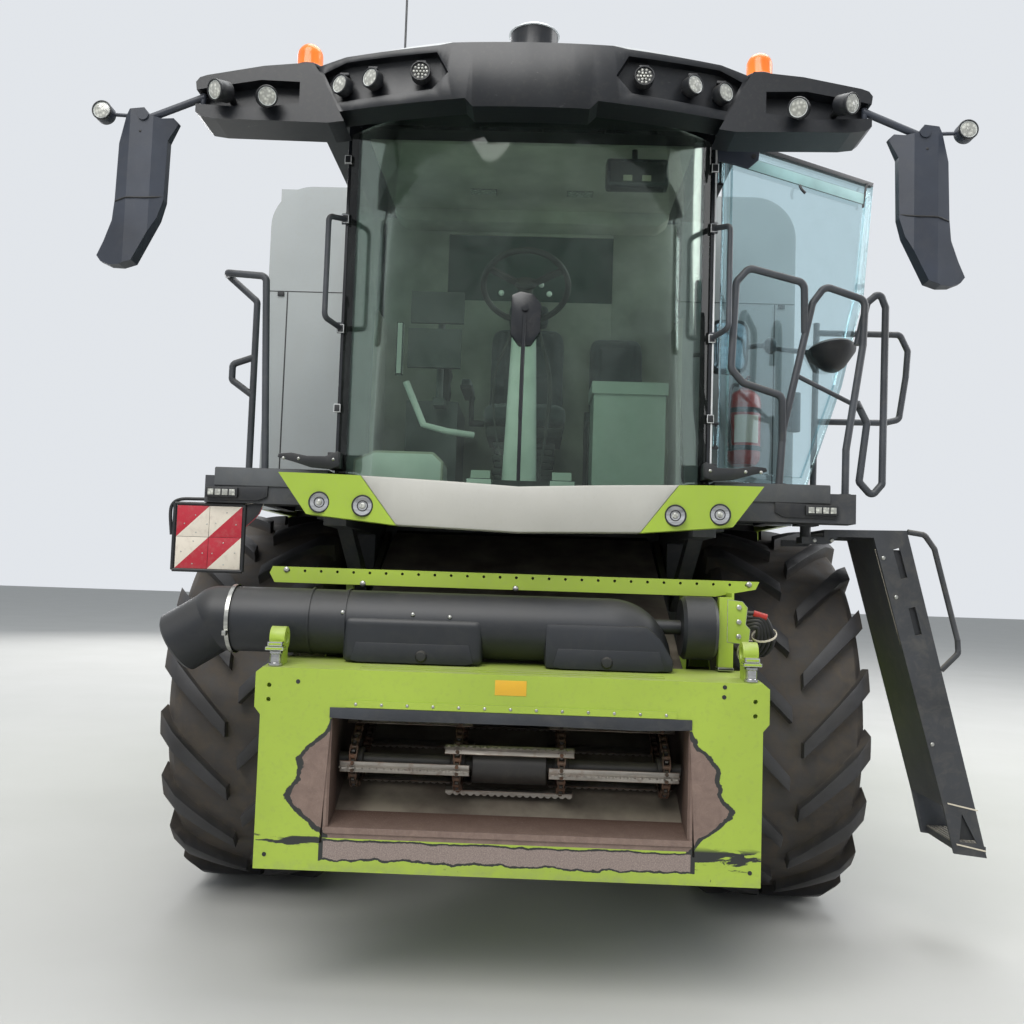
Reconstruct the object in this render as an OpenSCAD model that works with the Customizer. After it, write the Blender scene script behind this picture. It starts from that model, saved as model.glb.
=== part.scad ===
// Combine harvester without a header, parked, wheels straight, cab door open.
// Millimetres. The front of the machine faces -Y and its left side is +X.
// Inside the modules the ground under the front axle's centre is 0,0,0.

/* [Wheels] */
// Front tyre diameter over the lug tips
front_d = 1960; // [1900:10:1980]
// Front tyre width
front_w = 690; // [660:10:700]
// Front wheel centre from the middle of the machine
front_x = 1310; // [1305:5:1330]
// Rear tyre diameter over the lug tips
rear_d = 1460; // [1400:10:1480]
// Rear tyre width
rear_w = 500; // [440:10:510]
// Rear wheel centre from the middle of the machine
rear_x = 1250; // [1230:5:1260]
// Lugs on each side of a front tyre
front_lugs = 19; // [16:1:22]
// Lugs on each side of a rear tyre
rear_lugs = 18; // [16:1:22]
// Distance between the axles
wheelbase = 3750; // [3700:10:3800]

/* [Feeder house] */
// Half width of the front frame
frame_half = 972; // [940:4:990]
// Underside of the front frame above the ground
frame_low = 505; // [490:5:540]
// Top of the front frame above the ground
frame_top = 1274; // [1265:3:1285]
// Half width of the channel's opening
mouth_half = 690; // [650:5:700]
// Number of drive chains across the channel
chains = 4; // [3:1:5]

/* [Cab] */
// Half width of the windscreen
screen_half = 860; // [840:5:880]
// Underside of the windscreen above the ground
screen_low = 2035; // [2025:5:2060]
// Top of the windscreen above the ground
screen_top = 3743; // [3700:5:3760]
// Glass thickness
glass_t = 8; // [6:1:12]
// Length of the door's top edge
door_len = 1040; // [1000:5:1050]
// Angle of the parked door from shut
door_open = 59; // [45:1:75]

/* [Body] */
// Half width over the side panels
body_half = 1580; // [1560:5:1600]
// Top of the grain tank above the ground
tank_top = 3980; // [3940:10:4000]
// Top of the side panels above the ground
panel_top = 3330; // [3300:5:3340]
// Half width of the threshing body
core_half = 780; // [760:5:785]
// Side panel thickness
panel_t = 40; // [30:2:50]
// Grain tank wall thickness
tank_wall = 30; // [20:2:40]

/* [Unloading auger] */
// Auger tube diameter
auger_d = 370; // [340:10:380]
// Auger length from its turret
auger_len = 6350; // [6000:50:6500]

/* [Handrails] */
// Handrail tube diameter
rail_d = 34; // [28:2:38]

/* [Hidden] */
$fn = 48;
fit = 0.05;
seat = 0.3;
axle_z = front_d / 2;
rear_z = rear_d / 2;
king_x = rear_x - 310;
arm_len = 260;
pivot_y = -250;
pivot_z = 1560;
feed_slope = 23.5;
hood_half = body_half - 140;
feed_front = -1744;
turret_x = body_half - 210;
turret_y = 620;
auger_z = 3560;
floor_z = screen_low - 10;
hinge_x = 905;
hinge_y = -985;
// The outermost reaches, which set the origin in the middle of the whole
reach_left = 2180;
reach_right = 1905;
reach_front = 1750;
reach_rear = turret_y + auger_len + 60;
shift_x = (reach_left - reach_right) / 2;
shift_y = (reach_rear - reach_front) / 2;

lime = [0.62, 0.75, 0.16];
cream = [0.88, 0.88, 0.84];
dark = [0.16, 0.17, 0.19];
steel = [0.6, 0.6, 0.6];
red = [0.7, 0.1, 0.08];
orange = [0.95, 0.4, 0.1];
teal = [0.6, 0.8, 0.8];
rubber = [0.1, 0.1, 0.1];

function unit(v) = v / norm(v);

// Box from one corner to the other
module block(x0, x1, y0, y1, z0, z1) {
  translate([x0, y0, z0])
    cube([x1 - x0, y1 - y0, z1 - z0]);
}

// Plate cut from a side outline of (y, z) points, between two x
module side_plate(x0, x1, points) {
  translate([x0, 0, 0])
    rotate([90, 0, 90])
      linear_extrude(x1 - x0)
        polygon(points);
}

// Plate cut from a front outline of (x, z) points, between two y
module front_plate(y0, y1, points) {
  translate([0, y1, 0])
    rotate([90, 0, 0])
      linear_extrude(y1 - y0)
        polygon(points);
}

// Round bar along x
module bar_x(x0, x1, y, z, d) {
  translate([x0, y, z])
    rotate([0, 90, 0])
      cylinder(d = d, h = x1 - x0);
}

// Round bar along y
module bar_y(x, y0, y1, z, d) {
  translate([x, y0, z])
    rotate([-90, 0, 0])
      cylinder(d = d, h = y1 - y0);
}

// Round bar along z
module bar_z(x, y, z0, z1, d) {
  translate([x, y, z0])
    cylinder(d = d, h = z1 - z0);
}

// Round bar from a to b
module rod(a, b, d) {
  v = b - a;
  translate(a)
    rotate([0, acos(v[2] / norm(v)), atan2(v[1], v[0])])
      cylinder(d = d, h = norm(v));
}

function turn_of(a, p, b) = acos(unit(a - p) * unit(b - p));
function reach_of(a, p, b, r) = r / tan(turn_of(a, p, b) / 2);

// Quarter-like bend of a tube at p between its neighbours a and b
module bend(a, p, b, r, d) {
  u = unit(a - p);
  w = unit(b - p);
  phi = turn_of(a, p, b);
  c = p + unit(u + w) * r / sin(phi / 2);
  s = p + u * reach_of(a, p, b, r);
  e = p + w * reach_of(a, p, b, r);
  ex = unit(s - c);
  ez = unit(cross(s - c, e - c));
  ey = cross(ez, ex);
  multmatrix([
    [ex[0], ey[0], ez[0], c[0]],
    [ex[1], ey[1], ez[1], c[1]],
    [ex[2], ey[2], ez[2], c[2]],
    [0, 0, 0, 1]
  ])
    rotate_extrude(angle = 180 - phi)
      translate([r, 0])
        circle(d = d + 0.8, $fn = 24);
}

// Tube through points with round bends
module pipe(p, r, d) {
  n = len(p);
  for (i = [0 : n - 2]) {
    a = p[i];
    b = p[i + 1];
    la = i == 0 ? 0 : reach_of(p[i - 1], a, b, r) - 1;
    lb = i == n - 2 ? 0 : reach_of(a, b, p[i + 2], r) - 1;
    rod(a + unit(b - a) * la, b - unit(b - a) * lb, d, $fn = 24);
  }
  for (i = [1 : 1 : n - 2])
    bend(p[i - 1], p[i], p[i + 1], r, d);
}

// Vertical curved shell with its centre line on the machine's middle
module arc_shell(yc, r, t, z0, z1, half) {
  intersection() {
    translate([0, yc, z0])
      difference() {
        cylinder(r = r, h = z1 - z0, $fn = 240);
        translate([0, 0, -1])
          cylinder(r = r - t, h = z1 - z0 + 2, $fn = 240);
      }
    block(-half, half, yc - r - 10, yc - sqrt(r * r - half * half) + t + 20, z0, z1);
  }
}

module both() {
  children();
  mirror([1, 0, 0])
    children();
}

// Wheels

// Lugged tyre, its outer side towards +x
module tyre(d, w, rim_d, lugs, lug_h) {
  r = d / 2;
  c = r - lug_h;
  b = rim_d / 2 + seat;
  // Lug seen from outside, as (across, around), from the tread's middle to past the shoulder
  lug = [[0.04 * w, -20], [0.04 * w, 50], [0.51 * w, 0.5 * w + 60], [0.51 * w, 0.5 * w - 45]];
  color(rubber)
    rotate([0, 90, 0]) {
      rotate_extrude($fn = 96)
        polygon([
          [b, -0.41 * w], [b + 26, -0.41 * w], [b + 50, -0.44 * w], [(b + r) / 2, -0.5 * w], [c - 60, -0.48 * w],
          [c - 12, -0.42 * w], [c, -0.3 * w], [c, 0.3 * w], [c - 12, 0.42 * w],
          [c - 60, 0.48 * w], [(b + r) / 2, 0.5 * w], [b + 50, 0.44 * w], [b + 26, 0.41 * w], [b, 0.41 * w]
        ]);
      intersection() {
        for (i = [0 : lugs - 1])
          for (side = [0, 1])
            rotate((i + side / 2) * 360 / lugs)
              mirror([0, 0, side])
                translate([c - 110, 0, 0])
                  rotate([90, 0, 90])
                    linear_extrude(lug_h + 130)
                      polygon([for (p = lug) [0.25 * w - p[1], p[0]]]);
        rotate_extrude($fn = 96)
          polygon([
            [c - 90, -0.5 * w], [r - 40, -0.5 * w], [r, -0.4 * w], [r, 0.4 * w],
            [r - 40, 0.5 * w], [c - 90, 0.5 * w]
          ]);
      }
    }
}

// Rim with its outer side towards +x
module rim(rim_d, w, hub_r, bore_r, hub_in, hub_out) {
  r = rim_d / 2;
  e = 0.41 * w + seat;
  color(lime)
    rotate([0, 90, 0])
      difference() {
        rotate_extrude($fn = 96)
          polygon([
            [r - 14, -e - 14], [r + 24, -e - 14], [r + 24, -e], [r, -e],
            [r, e], [r + 24, e], [r + 24, e + 14], [r - 14, e + 14],
            [r - 14, 80], [hub_r + 60, 40], [hub_r + 60, hub_out],
            [bore_r + 30, hub_out], [bore_r + 30, hub_out + 40], [0, hub_out + 40],
            [0, hub_out - 20], [bore_r, hub_out - 20], [bore_r, hub_in],
            [hub_r, hub_in], [hub_r, 15], [r - 14, 55]
          ]);
        for (a = [0 : 45 : 315])
          rotate(a)
            translate([r * 0.76, 0, 0])
              cylinder(r = r * 0.06, h = 300, center = true, $fn = 24);
      }
}

module at_front_wheel(side) {
  translate([side * front_x, 0, axle_z])
    scale([side, 1, 1])
      children();
}

module at_rear_wheel(side) {
  translate([side * rear_x, wheelbase, rear_z])
    scale([side, 1, 1])
      children();
}

module tyre_front(side) at_front_wheel(side) tyre(front_d, front_w, 813, front_lugs, 52);
module rim_front(side) at_front_wheel(side) rim(813, front_w, 190, 90 + fit, -120, 70);
module tyre_rear(side) at_rear_wheel(side) tyre(rear_d, rear_w, 610, rear_lugs, 45);
module rim_rear(side) at_rear_wheel(side) rim(610, rear_w, 110, 45 + fit, -60, 60);

// Axles

module front_axle() {
  color(dark) {
    block(-760, 760, -140, 140, axle_z - 110, axle_z + 150);
    both() {
      block(760, 900, -170, 170, axle_z - 170, axle_z + 150);
      bar_x(900, front_x - 160, 0, axle_z, 420);
      bar_x(front_x - 160, front_x - 130, 0, axle_z, 300);
      bar_x(front_x - 130, front_x + 45, 0, axle_z, 180);
    }
  }
}

module rear_axle() {
  color(dark) {
    block(-king_x + 60, king_x - 60, wheelbase - 75, wheelbase + 75, rear_z - 70, rear_z + 70);
    bar_y(0, wheelbase - 165, wheelbase + 165, rear_z + 30, 100);
    both()
      difference() {
        bar_z(king_x, wheelbase, rear_z - 100, rear_z + 100, 150);
        bar_z(king_x, wheelbase, rear_z - 101, rear_z + 101, 70 + 2 * fit);
      }
  }
}

module knuckle() {
  color(dark) {
    bar_z(king_x, wheelbase, rear_z - 136, rear_z + 136, 70);
    for (z = [rear_z - 136, rear_z + 106])
      block(king_x - 50, king_x + 125, wheelbase - 60, wheelbase + 60, z, z + 30);
    block(king_x + 90, king_x + 125, wheelbase - 60, wheelbase + 60, rear_z - 136, rear_z + 136);
    bar_x(king_x + 100, rear_x - 65, wheelbase, rear_z, 150);
    bar_x(rear_x - 70, rear_x + 35, wheelbase, rear_z, 90);
    block(king_x - 40, king_x + 20, wheelbase + 50, wheelbase + arm_len, rear_z - 136, rear_z - 106);
    bar_z(king_x, wheelbase + arm_len, rear_z - 136, rear_z - 106, 80);
    bar_z(king_x, wheelbase + arm_len, rear_z - 136, rear_z - 40, 30);
  }
}

module tie_rod() {
  y = wheelbase + arm_len;
  z = rear_z - 66;
  color(dark)
    difference() {
      union() {
        bar_x(-king_x, king_x, y, z, 44);
        both()
          bar_z(king_x, y, z - 27, z + 20, 70);
      }
      both()
        bar_z(king_x, y, z - 80, z + 80, 30 + 2 * fit);
    }
}

// Frame

module chassis_frame() {
  top = axle_z + 150;
  color(dark) {
    both() {
      block(core_half, 885, -300, 2780, top, top + 190);
      block(core_half, 885, -300, -120, top, 1950);
      block(core_half, 885, 60, 200, top, 1950);
      block(core_half, 885, -1150, 250, 1860, 1950);
      side_plate(800, 870, [[-300, 1500], [-900, 1860], [-780, 1860], [-300, 1600]]);
      block(600, 885, 2700, 2780, top, 1500);
      block(600, 700, 2700, 4700, 1400, 1500);
      block(885, body_half - panel_t - 10, 1080, 1140, top, top + 190);
      block(885, body_half - panel_t - 10, 2700, 2780, top, top + 190);
    }
    block(-core_half, core_half, 60, 140, top, top + 60);
    block(-700, 700, wheelbase - 160, wheelbase + 160, 1400, 1500);
    difference() {
      for (y = [wheelbase - 125, wheelbase + 85])
        block(-150, 150, y, y + 40, rear_z - 50, 1400);
      bar_y(0, wheelbase - 200, wheelbase + 200, rear_z + 30, 100 + 2 * seat);
    }
    block(-700, 700, 4600, 4700, 1400, 1500);
    block(-885, 885, 2700, 2780, top, top + 60);
  }
}

module tow_hitch() {
  color(dark)
    difference() {
      union() {
        side_plate(-90, -60, [[4400, 820], [4720, 820], [4720, 960], [4690, 1400], [4600, 1400], [4560, 1000]]);
        side_plate(60, 90, [[4400, 820], [4720, 820], [4720, 960], [4690, 1400], [4600, 1400], [4560, 1000]]);
        block(-60, 60, 4640, 4660, 820, 1400);
        block(-60, 60, 4660, 4860, 830, 860);
        block(-60, 60, 4660, 4860, 930, 960);
      }
      bar_z(0, 4800, 800, 1000, 40);
    }
}

// Threshing body, tank, panels

module separator_body() {
  color(dark) {
    difference() {
      side_plate(-core_half, core_half, [
        [30, 1330], [30, 1940], [300, 1940], [300, 2500], [5150, 2500], [5150, 1500], [2690, 1500],
        [2690, 950], [1500, 880], [600, 950], [300, 1200], [200, 1330]
      ]);
      block(-710, 710, 0, 420, 1380, 1900);
    }
    both()
      difference() {
        side_plate(745, core_half, [[-360, 1450], [-330, 1680], [60, 1900], [60, 1400]]);
        bar_x(740, 800, pivot_y, pivot_z, 120 + 2 * fit);
      }
  }
}

// Braces that carry the side panels, as (front, back, low)
module panel_braces() {
  color(dark)
    both()
      for (b = [[330, 380, 2020], [1080, 1140, 1330], [2600, 2660, 1330], [4980, 5040, 1560]])
        block(core_half, body_half - panel_t, b[0], b[1], b[2], 2500);
}

module grain_tank() {
  x0 = -body_half + panel_t;
  x1 = lid_left_x;
  color(cream) {
    difference() {
      union() {
        block(x0, x1, 300, 2450, 2500, tank_top);
        block(x1 - 50, body_half - panel_t, 300, 2450, 2500, panel_top - 20);
        front_plate(250, 300, [
          [-body_half, 2010], [body_half, 2010], [body_half, tank_top - 250],
          [-body_half, tank_top - 250]
        ]);
        block(-body_half + 250, body_half - 250, 250, 300, tank_top - 250, tank_top);
        both()
          bar_y(body_half - 250, 250, 300, tank_top - 250, 500);
      }
      block(x0 + tank_wall, x1 - tank_wall, 300 + tank_wall, 2450 - tank_wall, 2900, tank_top + 1);
      side_plate(x0 + tank_wall, x1 - tank_wall, [
        [300 + tank_wall, 2901], [2450 - tank_wall, 2901], [1600, 2560], [1100, 2560]
      ]);
      block(core_half + 5, 1700, 330, 1000, 2400, 2499);
    }
    for (x = [lid_left_x - 7, lid_right_x + 7])
      for (y = lid_hinges) {
        xh = x > 0 ? lid_left_x : lid_right_x;
        bar_y(xh, y - 12, y + 172, tank_top + 22, 14);
        for (y1 = [y - 16, y + 166])
          block(min(xh, x) - 7, max(xh, x) + 7, y1, y1 + 10, tank_top - 1, tank_top + 34);
      }
    bar_z(turret_x, turret_y, panel_top - 30, panel_top + 8, 330);
    bar_z(turret_x, turret_y, panel_top, panel_top + 120, 200);
  }
}

module auger_tube() {
  z = auger_z;
  y1 = turret_y + auger_len;
  color(cream) {
    difference() {
      union() {
        bar_z(turret_x, turret_y, panel_top + 15, z, auger_d);
        translate([turret_x, turret_y, z])
          sphere(d = auger_d, $fn = 64);
        bar_y(turret_x, turret_y, y1, z, auger_d);
        bar_y(turret_x, turret_y + 900, turret_y + 930, z, auger_d + 16);
        bar_y(turret_x, turret_y + 3300, turret_y + 3330, z, auger_d + 16);
      }
      bar_z(turret_x, turret_y, panel_top, panel_top + 125, 200 + 2 * fit);
      bar_y(turret_x, y1 - 600, y1 + 1, z, auger_d - 12);
      block(turret_x - 170, turret_x + 170, y1 - 175, y1 + 1, z - auger_d, z - 60);
    }
  }
}

// Rubber boot that turns the grain down at the auger's end
module auger_boot() {
  z = auger_z;
  y1 = turret_y + auger_len;
  color(rubber)
    difference() {
      side_plate(turret_x - auger_d / 2 - 10, turret_x + auger_d / 2 + 10, [
        [y1 - 100, z + 160], [y1 + 20, z + 160], [y1 + 60, z - 100],
        [y1 + 20, z - 420], [y1 - 240, z - 420], [y1 - 200, z - 100]
      ]);
      side_plate(turret_x - auger_d / 2, turret_x + auger_d / 2, [
        [y1 - 80, z + 140], [y1 + 10, z + 140], [y1 + 45, z - 100],
        [y1 + 5, z - 421], [y1 - 225, z - 421], [y1 - 180, z - 100]
      ]);
      bar_y(turret_x, y1 - 300, y1 + 5, z, auger_d + 2 * seat);
    }
}

// Tank lids, hinged at the tank's sides
lid_left_x = body_half - 430;
lid_right_x = -body_half + panel_t;
lid_mid = (lid_left_x + lid_right_x) / 2;
// Where the lid hinges start along the tank
lid_hinges = [500, 2180];

module tank_lid(side) {
  x0 = side > 0 ? lid_mid + 4 : lid_right_x;
  x1 = side > 0 ? lid_left_x : lid_mid - 4;
  xh = side > 0 ? x1 : x0;
  color(dark) {
    block(x0 + (side > 0 ? 0 : 26), x1 - (side > 0 ? 26 : 0), 420, 2430, tank_top + 8, tank_top + 28);
    for (y = [480, 1415, 2350])
      block(x0 + 60, x1 - 60, y - 20, y + 20, tank_top + 28, tank_top + 50);
    for (y = lid_hinges)
      difference() {
        union() {
          bar_y(xh, y, y + 160, tank_top + 22, 30);
          block(min(xh, xh - side * 40), max(xh, xh - side * 40), y, y + 160, tank_top + 14, tank_top + 28);
        }
        bar_y(xh, y - 1, y + 161, tank_top + 22, 14 + 2 * fit);
      }
  }
}

module side_panels() {
  color(lime)
    difference() {
      both()
        for (part = [
          [[308, 2010], [308, panel_top], [1290, panel_top], [1290, 1400], [1080, 1400], [1010, 2010]],
          [[1300, 1250], [1300, panel_top], [2640, panel_top], [2640, 1250]],
          [[2650, 1250], [2650, panel_top], [4140, panel_top], [4140, 1560], [2870, 1560], [2780, 1250]],
          [[4150, 1560], [4150, panel_top], [5100, panel_top], [5200, 3200], [5200, 1660], [5100, 1560]]
        ])
          side_plate(body_half - panel_t, body_half, part);
      bar_x(-body_half - 10, -body_half + panel_t + 10, 3350, 2880, 821);
      // Louvres of the engine bay
      for (z = [2600 : 60 : 3140])
        block(-body_half - 10, body_half + 10, 4280, 4960, z, z + 24);
    }
}

module engine() {
  color(steel)
    block(-500, 500, 2650, 3850, 2540, 3350);
}

module engine_hood() {
  color(dark) {
    difference() {
      union() {
        block(-body_half + panel_t, body_half - panel_t, 2470, 4180, 2500, panel_top);
        block(-body_half + 180, lid_left_x, 2470, 4180, panel_top - 50, 3640);
      }
      block(-body_half + panel_t + 40, body_half - panel_t - 40, 2510, 4140, 2540, panel_top - 40);
      block(-body_half + 220, lid_left_x - 40, 2510, 4140, panel_top - 90, 3600);
    }
    block(-500, 500, 2650, 3850, 2530, 2540);
  }
  color(steel)
    bar_x(-body_half - 6, -body_half + panel_t, 3350, 2880, 820);
}

module rear_hood() {
  outer = [
    [4190, 2500], [4190, panel_top], [5200, panel_top], [6200, 2850],
    [6420, 2500], [6420, 1900], [6150, 1640], [5210, 1560], [5160, 1560], [5160, 2500]
  ];
  inner = [
    [4230, 2540], [4230, panel_top - 40], [5185, panel_top - 40], [6165, 2825],
    [6380, 2490], [6380, 1920], [6140, 1639], [5215, 1559], [5200, 1559], [5200, 2540]
  ];
  color(cream)
    difference() {
      side_plate(-hood_half, hood_half, outer);
      side_plate(-hood_half + 40, hood_half - 40, inner);
    }
}

// Lamp groups on the rear hood
module rear_lamps() {
  color(red)
    both()
      for (p = [[hood_half - 260, 2120], [hood_half - 110, 2120]])
        bar_y(p[0], 6420 + seat, 6450, p[1], 120);
}

// Service ladder at the rear, on the hood's left
module rear_ladder() {
  x0 = 620;
  x1 = 980;
  color(dark) {
    for (x = [x0, x1]) {
      pipe([[x, 6420 + seat, 2420], [x, 6540, 2420], [x, 6540, 1050]], 50, 36);
      bar_y(x, 6420 + seat, 6540, 1960, 30);
    }
    for (z = [1110 : 290 : 2280])
      bar_x(x0, x1, 6540, z, 30);
  }
}

// Rails round the service deck on the hood's right
module deck_rails() {
  x = -1310;
  deck = 3640;
  color(dark)
    pipe([[x, 2560, deck + seat], [x, 2560, deck + 520], [x, 4080, deck + 520], [x + 900, 4080, deck + 520],
      [x + 900, 4080, deck + seat]], 60, rail_d);
  color(dark) {
    bar_z(x, 3400, deck + seat, deck + 510, rail_d);
    bar_z(x, 4080, deck + seat, deck + 460, rail_d);
    bar_y(x, 2560, 4080, deck + 270, 26);
  }
}

module straw_chopper() {
  color(dark) {
    both()
      side_plate(hood_half - 90, hood_half - 40 - seat, [[5260, 1500], [5300, 1180], [5700, 1130], [6100, 1350], [6120, 1700], [5260, 1640]]);
    bar_x(-hood_half + 90, hood_half - 90, 5600, 1420, 460);
    block(-hood_half + 90, hood_half - 90, 5700, 6080, 1640, 1660);
    side_plate(-hood_half + 90, hood_half - 90, [[5750, 1180], [6350, 980], [6350, 1000], [5760, 1210]]);
    for (x = [-1250 : 250 : 1250])
      side_plate(x - 5, x + 5, [[5850, 1150], [6340, 880], [6340, 985], [5850, 1160]]);
  }
}

// Feeder house, drawn as parked

function feed_line(y, off) = 933 + (y + 1700) * tan(feed_slope) + off / cos(feed_slope);
// Floor of the channel at the mouth, and where its steeper front part ends
mouth_floor = 705;
feed_kink = -1000;

module feeder_housing() {
  w = mouth_half + 20;
  color(lime) {
    difference() {
      union() {
        side_plate(-w, w, [
          [-1600, mouth_floor - 22], [-1600, feed_line(-1600, 215)],
          [-60, feed_line(-60, 215)], [-60, feed_line(-60, -215)],
          [feed_kink, feed_line(feed_kink, -215)]
        ]);
        both()
          bar_x(w - 40, w + 20, pivot_y, pivot_z, 300);
        both()
          bar_x(w, core_half - 6, pivot_y, pivot_z, 120);
      }
      side_plate(-mouth_half, mouth_half, [
        [-1601, mouth_floor], [-1601, feed_line(-1601, 195)], [0, feed_line(0, 195)],
        [0, feed_line(0, -195)], [feed_kink, feed_line(feed_kink, -195)]
      ]);
    }
    // Ears for the lift rods
    both()
      difference() {
        for (x = [lift_x - 54, lift_x + 34])
          side_plate(x, x + 20, [[-1080, feed_line(-1080, -210)], [-1000, 900], [-915, 895], [-820, feed_line(-820, -210)]]);
        bar_x(480, 640, lift_eye_y, lift_eye_z, 61);
      }
  }
}

lift_x = 560;
lift_base_y = -80;
lift_base_z = 650;
lift_eye_y = -950;
lift_eye_z = 950;

module feeder_frame() {
  y0 = feed_front;
  y1 = -1600;
  color(lime) {
    difference() {
      union() {
        side_plate(-frame_half, frame_half, [
          [y0, frame_top - 12], [y0, frame_top], [-1440, frame_top + 22], [-1440, frame_top + 10]
        ]);
        block(-frame_half, frame_half, y0, y1, frame_low, frame_top);
        // Coupling ears beside the frame's top and the clamping strip over the mouth
        both()
          front_plate(y0, y0 + 20, [
            [frame_half - 1, 1090], [frame_half + 24, 1120], [frame_half + 24, frame_top - 20],
            [frame_half - 1, frame_top]
          ]);
        block(-640, 640, y0 - 6, y0, 1130, 1156);
      }
      block(-frame_half + 30, frame_half - 30, y0 + 20, y1 + 1, frame_low + 20, frame_top - 20);
      front_plate(y0 - 7, y1, [
        [-mouth_half - 30, 610], [mouth_half + 30, 610],
        [mouth_half, 1117], [-mouth_half, 1117]
      ]);
      // Long slots in the top plate and pin holes beside the ears
      for (y = [y0 + 45, y0 + 85])
        block(-600, 600, y, y + 14, frame_top - 30, frame_top + 30);
      for (x = [-frame_half + 30, frame_half - 30])
        for (z = [1150, 1205])
          bar_y(x, y0 - 1, y0 + 30, z, 18);
    }
    // Folded edge round the mouth's lower lip
    front_plate(y0 - 6, y0, [
      [-mouth_half - 20, 650], [mouth_half + 20, 650], [mouth_half + 6, 672], [-mouth_half - 6, 672]
    ]);
    // Sloped floor and cheeks of the opening
    side_plate(-mouth_half - 20, mouth_half + 20, [[y0, 600], [y0, 670], [y1, mouth_floor], [y1, mouth_floor - 22], [y0 + 60, 600]]);
    both()
      block(mouth_half, mouth_half + 20, y0 + 5, y1, 600, 1140);
    block(-mouth_half - 20, mouth_half + 20, y0 + 20, y1, 1117, 1137);
    both() {
      difference() {
        bar_x(900, 960, -1660, 1384, 90);
        bar_x(890, 970, -1660, 1384, 50);
      }
      block(905, 955, -1700, -1620, frame_top - 10, 1345);
    }
  }
}

// Conveyor chains on a drum in the mouth and sprockets at the back, in the side view.
// The run between them is a whole number of links, as is half a turn on a sprocket.
chain_pitch = 76.2;
run_links = 17;
sprocket_teeth = 8;
chain_r = chain_pitch / 2 / sin(180 / sprocket_teeth);
loop_links = 2 * run_links + sprocket_teeth;
// Corners of the sprocket's flats, which carry the links
sprocket_r = chain_r - (13 + seat) / cos(180 / sprocket_teeth);
slat_step = 3;
drum_y = -1545;
drum_z = 896;
run_slope = atan2(feed_line(feed_kink, -195) - mouth_floor, feed_kink + 1600);

// Joint i of the chain, as (along the run, up from it), with the drum at 0,0
function on_loop(i) =
  let (k = run_links, h = sprocket_teeth / 2, step = 180 / h)
  i <= k ? [i * chain_pitch, chain_r] :
  i <= k + h ? [k * chain_pitch + chain_r * sin((i - k) * step), chain_r * cos((i - k) * step)] :
  i <= 2 * k + h ? [(2 * k + h - i) * chain_pitch, -chain_r] :
  [-chain_r * sin((i - 2 * k - h) * step), -chain_r * cos((i - 2 * k - h) * step)];

// Frame of the run: y along it, z up from it
module on_run() {
  translate([0, drum_y, drum_z])
    rotate([run_slope, 0, 0])
      children();
}

// Frame of link i: y along the link, z away from the sprocket
module at_link(i) {
  a = on_loop(i);
  b = on_loop(i + 1);
  on_run()
    translate([0, a[0], a[1]])
      rotate([atan2(b[1] - a[1], b[0] - a[0]), 0, 0])
        children();
}

// Slat with its foot on two links and a toothed edge
module slat(x0, x1) {
  teeth = 2 * round((x1 - x0) / 58);
  y = chain_pitch / 2;
  block(x0, x1, y - 22, y + 22, 12, 18);
  front_plate(y - 3, y + 3, concat([[x0, 14], [x1, 14]],
    [for (k = [0 : teeth]) [x1 - k * (x1 - x0) / teeth, k % 2 == 0 ? 40 : 29]]));
}

function strand_x(i) = -620 + i * 1240 / (chains - 1);

// Outline of a link of half height h, long enough to lap its neighbours round their pins
function link_side(h) = [
  [-h, 0], [7 - h, -h], [chain_pitch + h - 7, -h], [chain_pitch + h, 0], [chain_pitch + h - 7, h], [7 - h, h]
];

module feed_conveyor() {
  color(steel) {
    // Links in turn a pair of outer plates and a roller link between them
    for (c = [0 : chains - 1])
      for (i = [0 : loop_links - 1])
        at_link(i)
          if (i % 2 == 0)
            side_plate(strand_x(c) - 12, strand_x(c) + 12, link_side(13));
          else
            for (x = [-20, 12])
              side_plate(strand_x(c) + x, strand_x(c) + x + 8, link_side(15));
    // Slats across each pair of chains, staggered between neighbouring pairs
    for (c = [0 : chains - 2])
      for (i = [c % 2 : slat_step : loop_links - 1])
        at_link(i)
          slat(strand_x(c) - 50, strand_x(c + 1) + 50);
  }
  // Shafts, drum and sprockets
  color(dark)
    on_run()
      for (y = [0, run_links * chain_pitch]) {
        bar_x(-mouth_half + seat, mouth_half - seat, y, 0, 60);
        if (y == 0)
          bar_x(-150, 150, y, 0, 150);
        for (c = [0 : chains - 1])
          side_plate(strand_x(c) - 8, strand_x(c) + 8, [
            for (t = [0 : sprocket_teeth - 1])
              let (a = t * 360 / sprocket_teeth)
              [y + sprocket_r * sin(a), sprocket_r * cos(a)]
          ]);
      }
}

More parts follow.
